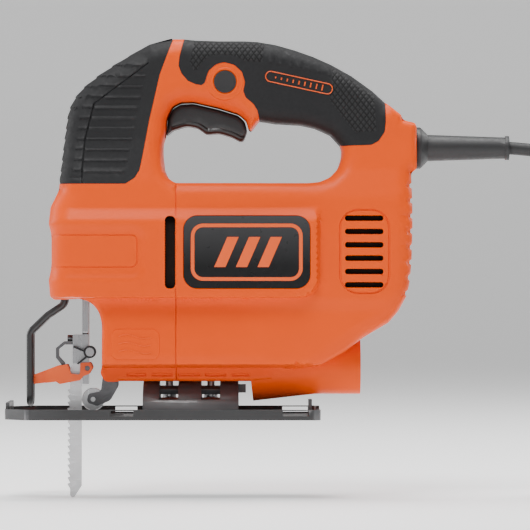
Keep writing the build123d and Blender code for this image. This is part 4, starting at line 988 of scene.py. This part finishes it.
# ============ Blade bar, clamp and blade ============
# Ground steel bar with a tool-free clamp: a block, a bolt and an ejector hook, a coiled spring,
# and an orange lever on a pin. The blade is bright stamped steel with set teeth.
bar_steel = Finish("bar_steel", (0.30, 0.30, 0.31), 0.28, Metallic=1.0)
bar_steel.shade(bar_steel.noise(60.0), (0.25, 0.25, 0.26), (0.36, 0.36, 0.37))
bar_steel.rough(bar_steel.noise(1200.0, 2.0, (1.0, 1.0, 0.05)), 0.22, 0.38)
bar_steel.bump(bar_steel.noise(2600.0, 2.0, (1.0, 1.0, 0.05)), 0.00001)
dark_steel = Finish("dark_steel", (0.10, 0.10, 0.105), 0.38, Metallic=1.0)
dark_steel.shade(dark_steel.noise(90.0), (0.07, 0.07, 0.075), (0.15, 0.15, 0.155))
dark_steel.rough(dark_steel.noise(600.0), 0.3, 0.5)
dark_steel.bump(dark_steel.noise(1500.0), 0.00003)
blade_steel = Finish("blade_steel", (0.55, 0.55, 0.56), 0.32, Metallic=1.0)
blade_steel.shade(blade_steel.noise(50.0, 4.0, (1.0, 1.0, 0.3)), (0.46, 0.46, 0.47), (0.62, 0.62, 0.63))
blade_steel.rough(blade_steel.noise(1500.0, 2.0, (0.1, 1.0, 1.0)), 0.25, 0.45)
blade_steel.bump(blade_steel.noise(3000.0, 2.0, (0.08, 1.0, 1.0)), 0.00001)
lever_orange = Finish("lever_orange", (0.78, 0.07, 0.004), 0.38)
lever_orange.shade(lever_orange.noise(40.0), (0.76, 0.08, 0.001), (0.84, 0.1, 0.002))
lever_orange.rough(lever_orange.noise(500.0), 0.3, 0.46)
lever_orange.bump(lever_orange.noise(2600.0), 0.00003)
spring_black = Finish("spring_wire", (0.02, 0.02, 0.022), 0.35, Metallic=0.6)
spring_black.rough(spring_black.noise(800.0), 0.28, 0.45)
dress(["plunger", "blade_clamp"], bar_steel, 0.25)
dress(["ejector_hook", "clamp_bolt", "lever_pin"], dark_steel, 0.2)
dress(["saw_blade"], blade_steel, 0.08)
dress(["clamp_lever"], lever_orange, 0.5)
dress(["clamp_spring"], spring_black)


# ============ Support roller ============
# A grooved, hardened steel roller turns on a pin in a forked arm behind the blade. The arm
# swings on a second pin, pressed into the housing.
dress(["guide_roller", "roller_pin", "arm_pivot_pin"], bright_steel, 0.3)
dress(["roller_arm"], dark_steel, 0.4)


# ============ Dust outlet ============
# The orange nylon tube at the rear of the belly takes a vacuum hose. It is clamped between the
# two halves of the housing.
dress(["dust_duct"], orange, 0.6)


# ============ Strain relief, tie and plug ============
# Moulded rubber cone with a flange in the housing, a tie of the same rubber round the coil, and
# a moulded two-pin plug.
relief_rubber = Finish("relief_rubber", (0.013, 0.013, 0.014), 0.5)
relief_rubber.shade(relief_rubber.noise(50.0), (0.010, 0.010, 0.011), (0.019, 0.019, 0.020))
relief_rubber.rough(relief_rubber.noise(500.0), 0.42, 0.6)
relief_rubber.bump(relief_rubber.noise(2500.0), 0.00004)
dress(["strain_relief"], relief_rubber, 0.5)
dress(["cord_clamp", "mains_plug"], relief_rubber, 1.2)
dress(["coil_tie"], relief_rubber, 0.3)


# ============ Motor and gear inside ============
# A series motor in two ball bearings drives a helical gear, whose crank pin works the blade bar.
# Wound copper, laminated steel, carbon brushes and a moulded fan. None of it shows from outside.
core_steel = Finish("lamination_steel", (0.23, 0.23, 0.24), 0.45, Metallic=1.0)
core_steel.rough(core_steel.noise(400.0), 0.35, 0.55)
core_steel.bump(core_steel.noise(2200.0, 1.0, (1.0, 0.05, 0.05)), 0.00003)
copper = Finish("winding_copper", (0.72, 0.27, 0.10), 0.35, Metallic=1.0)
copper.rough(copper.noise(500.0), 0.28, 0.45)
copper.bump(copper.noise(1500.0, 1.0, (0.1, 1.0, 1.0)), 0.00006)
carbon = Finish("brush_carbon", (0.02, 0.02, 0.02), 0.7)
carbon.rough(carbon.noise(500.0), 0.6, 0.8)
bronze = Finish("bush_bronze", (0.50, 0.28, 0.11), 0.4, Metallic=1.0)
bronze.rough(bronze.noise(500.0), 0.32, 0.5)
fan_plastic = Finish("fan_plastic", (0.30, 0.30, 0.29), 0.45)
fan_plastic.rough(fan_plastic.noise(400.0), 0.38, 0.52)
dress(["armature_core", "stator_core"], core_steel)
dress(["armature_shaft", "motor_pinion", "drive_gear", "crank_pin", "gear_spindle", "front_bearing",
       "rear_bearing", "gear_case_plate"], bright_steel)
dress(["commutator", "field_coils"], copper)
dress(["carbon_brushes"], carbon)
dress(["brush_holders"], black_and_slot_shade)
dress(["lower_bush", "upper_bush"], bronze)
dress(["cooling_fan"], fan_plastic)
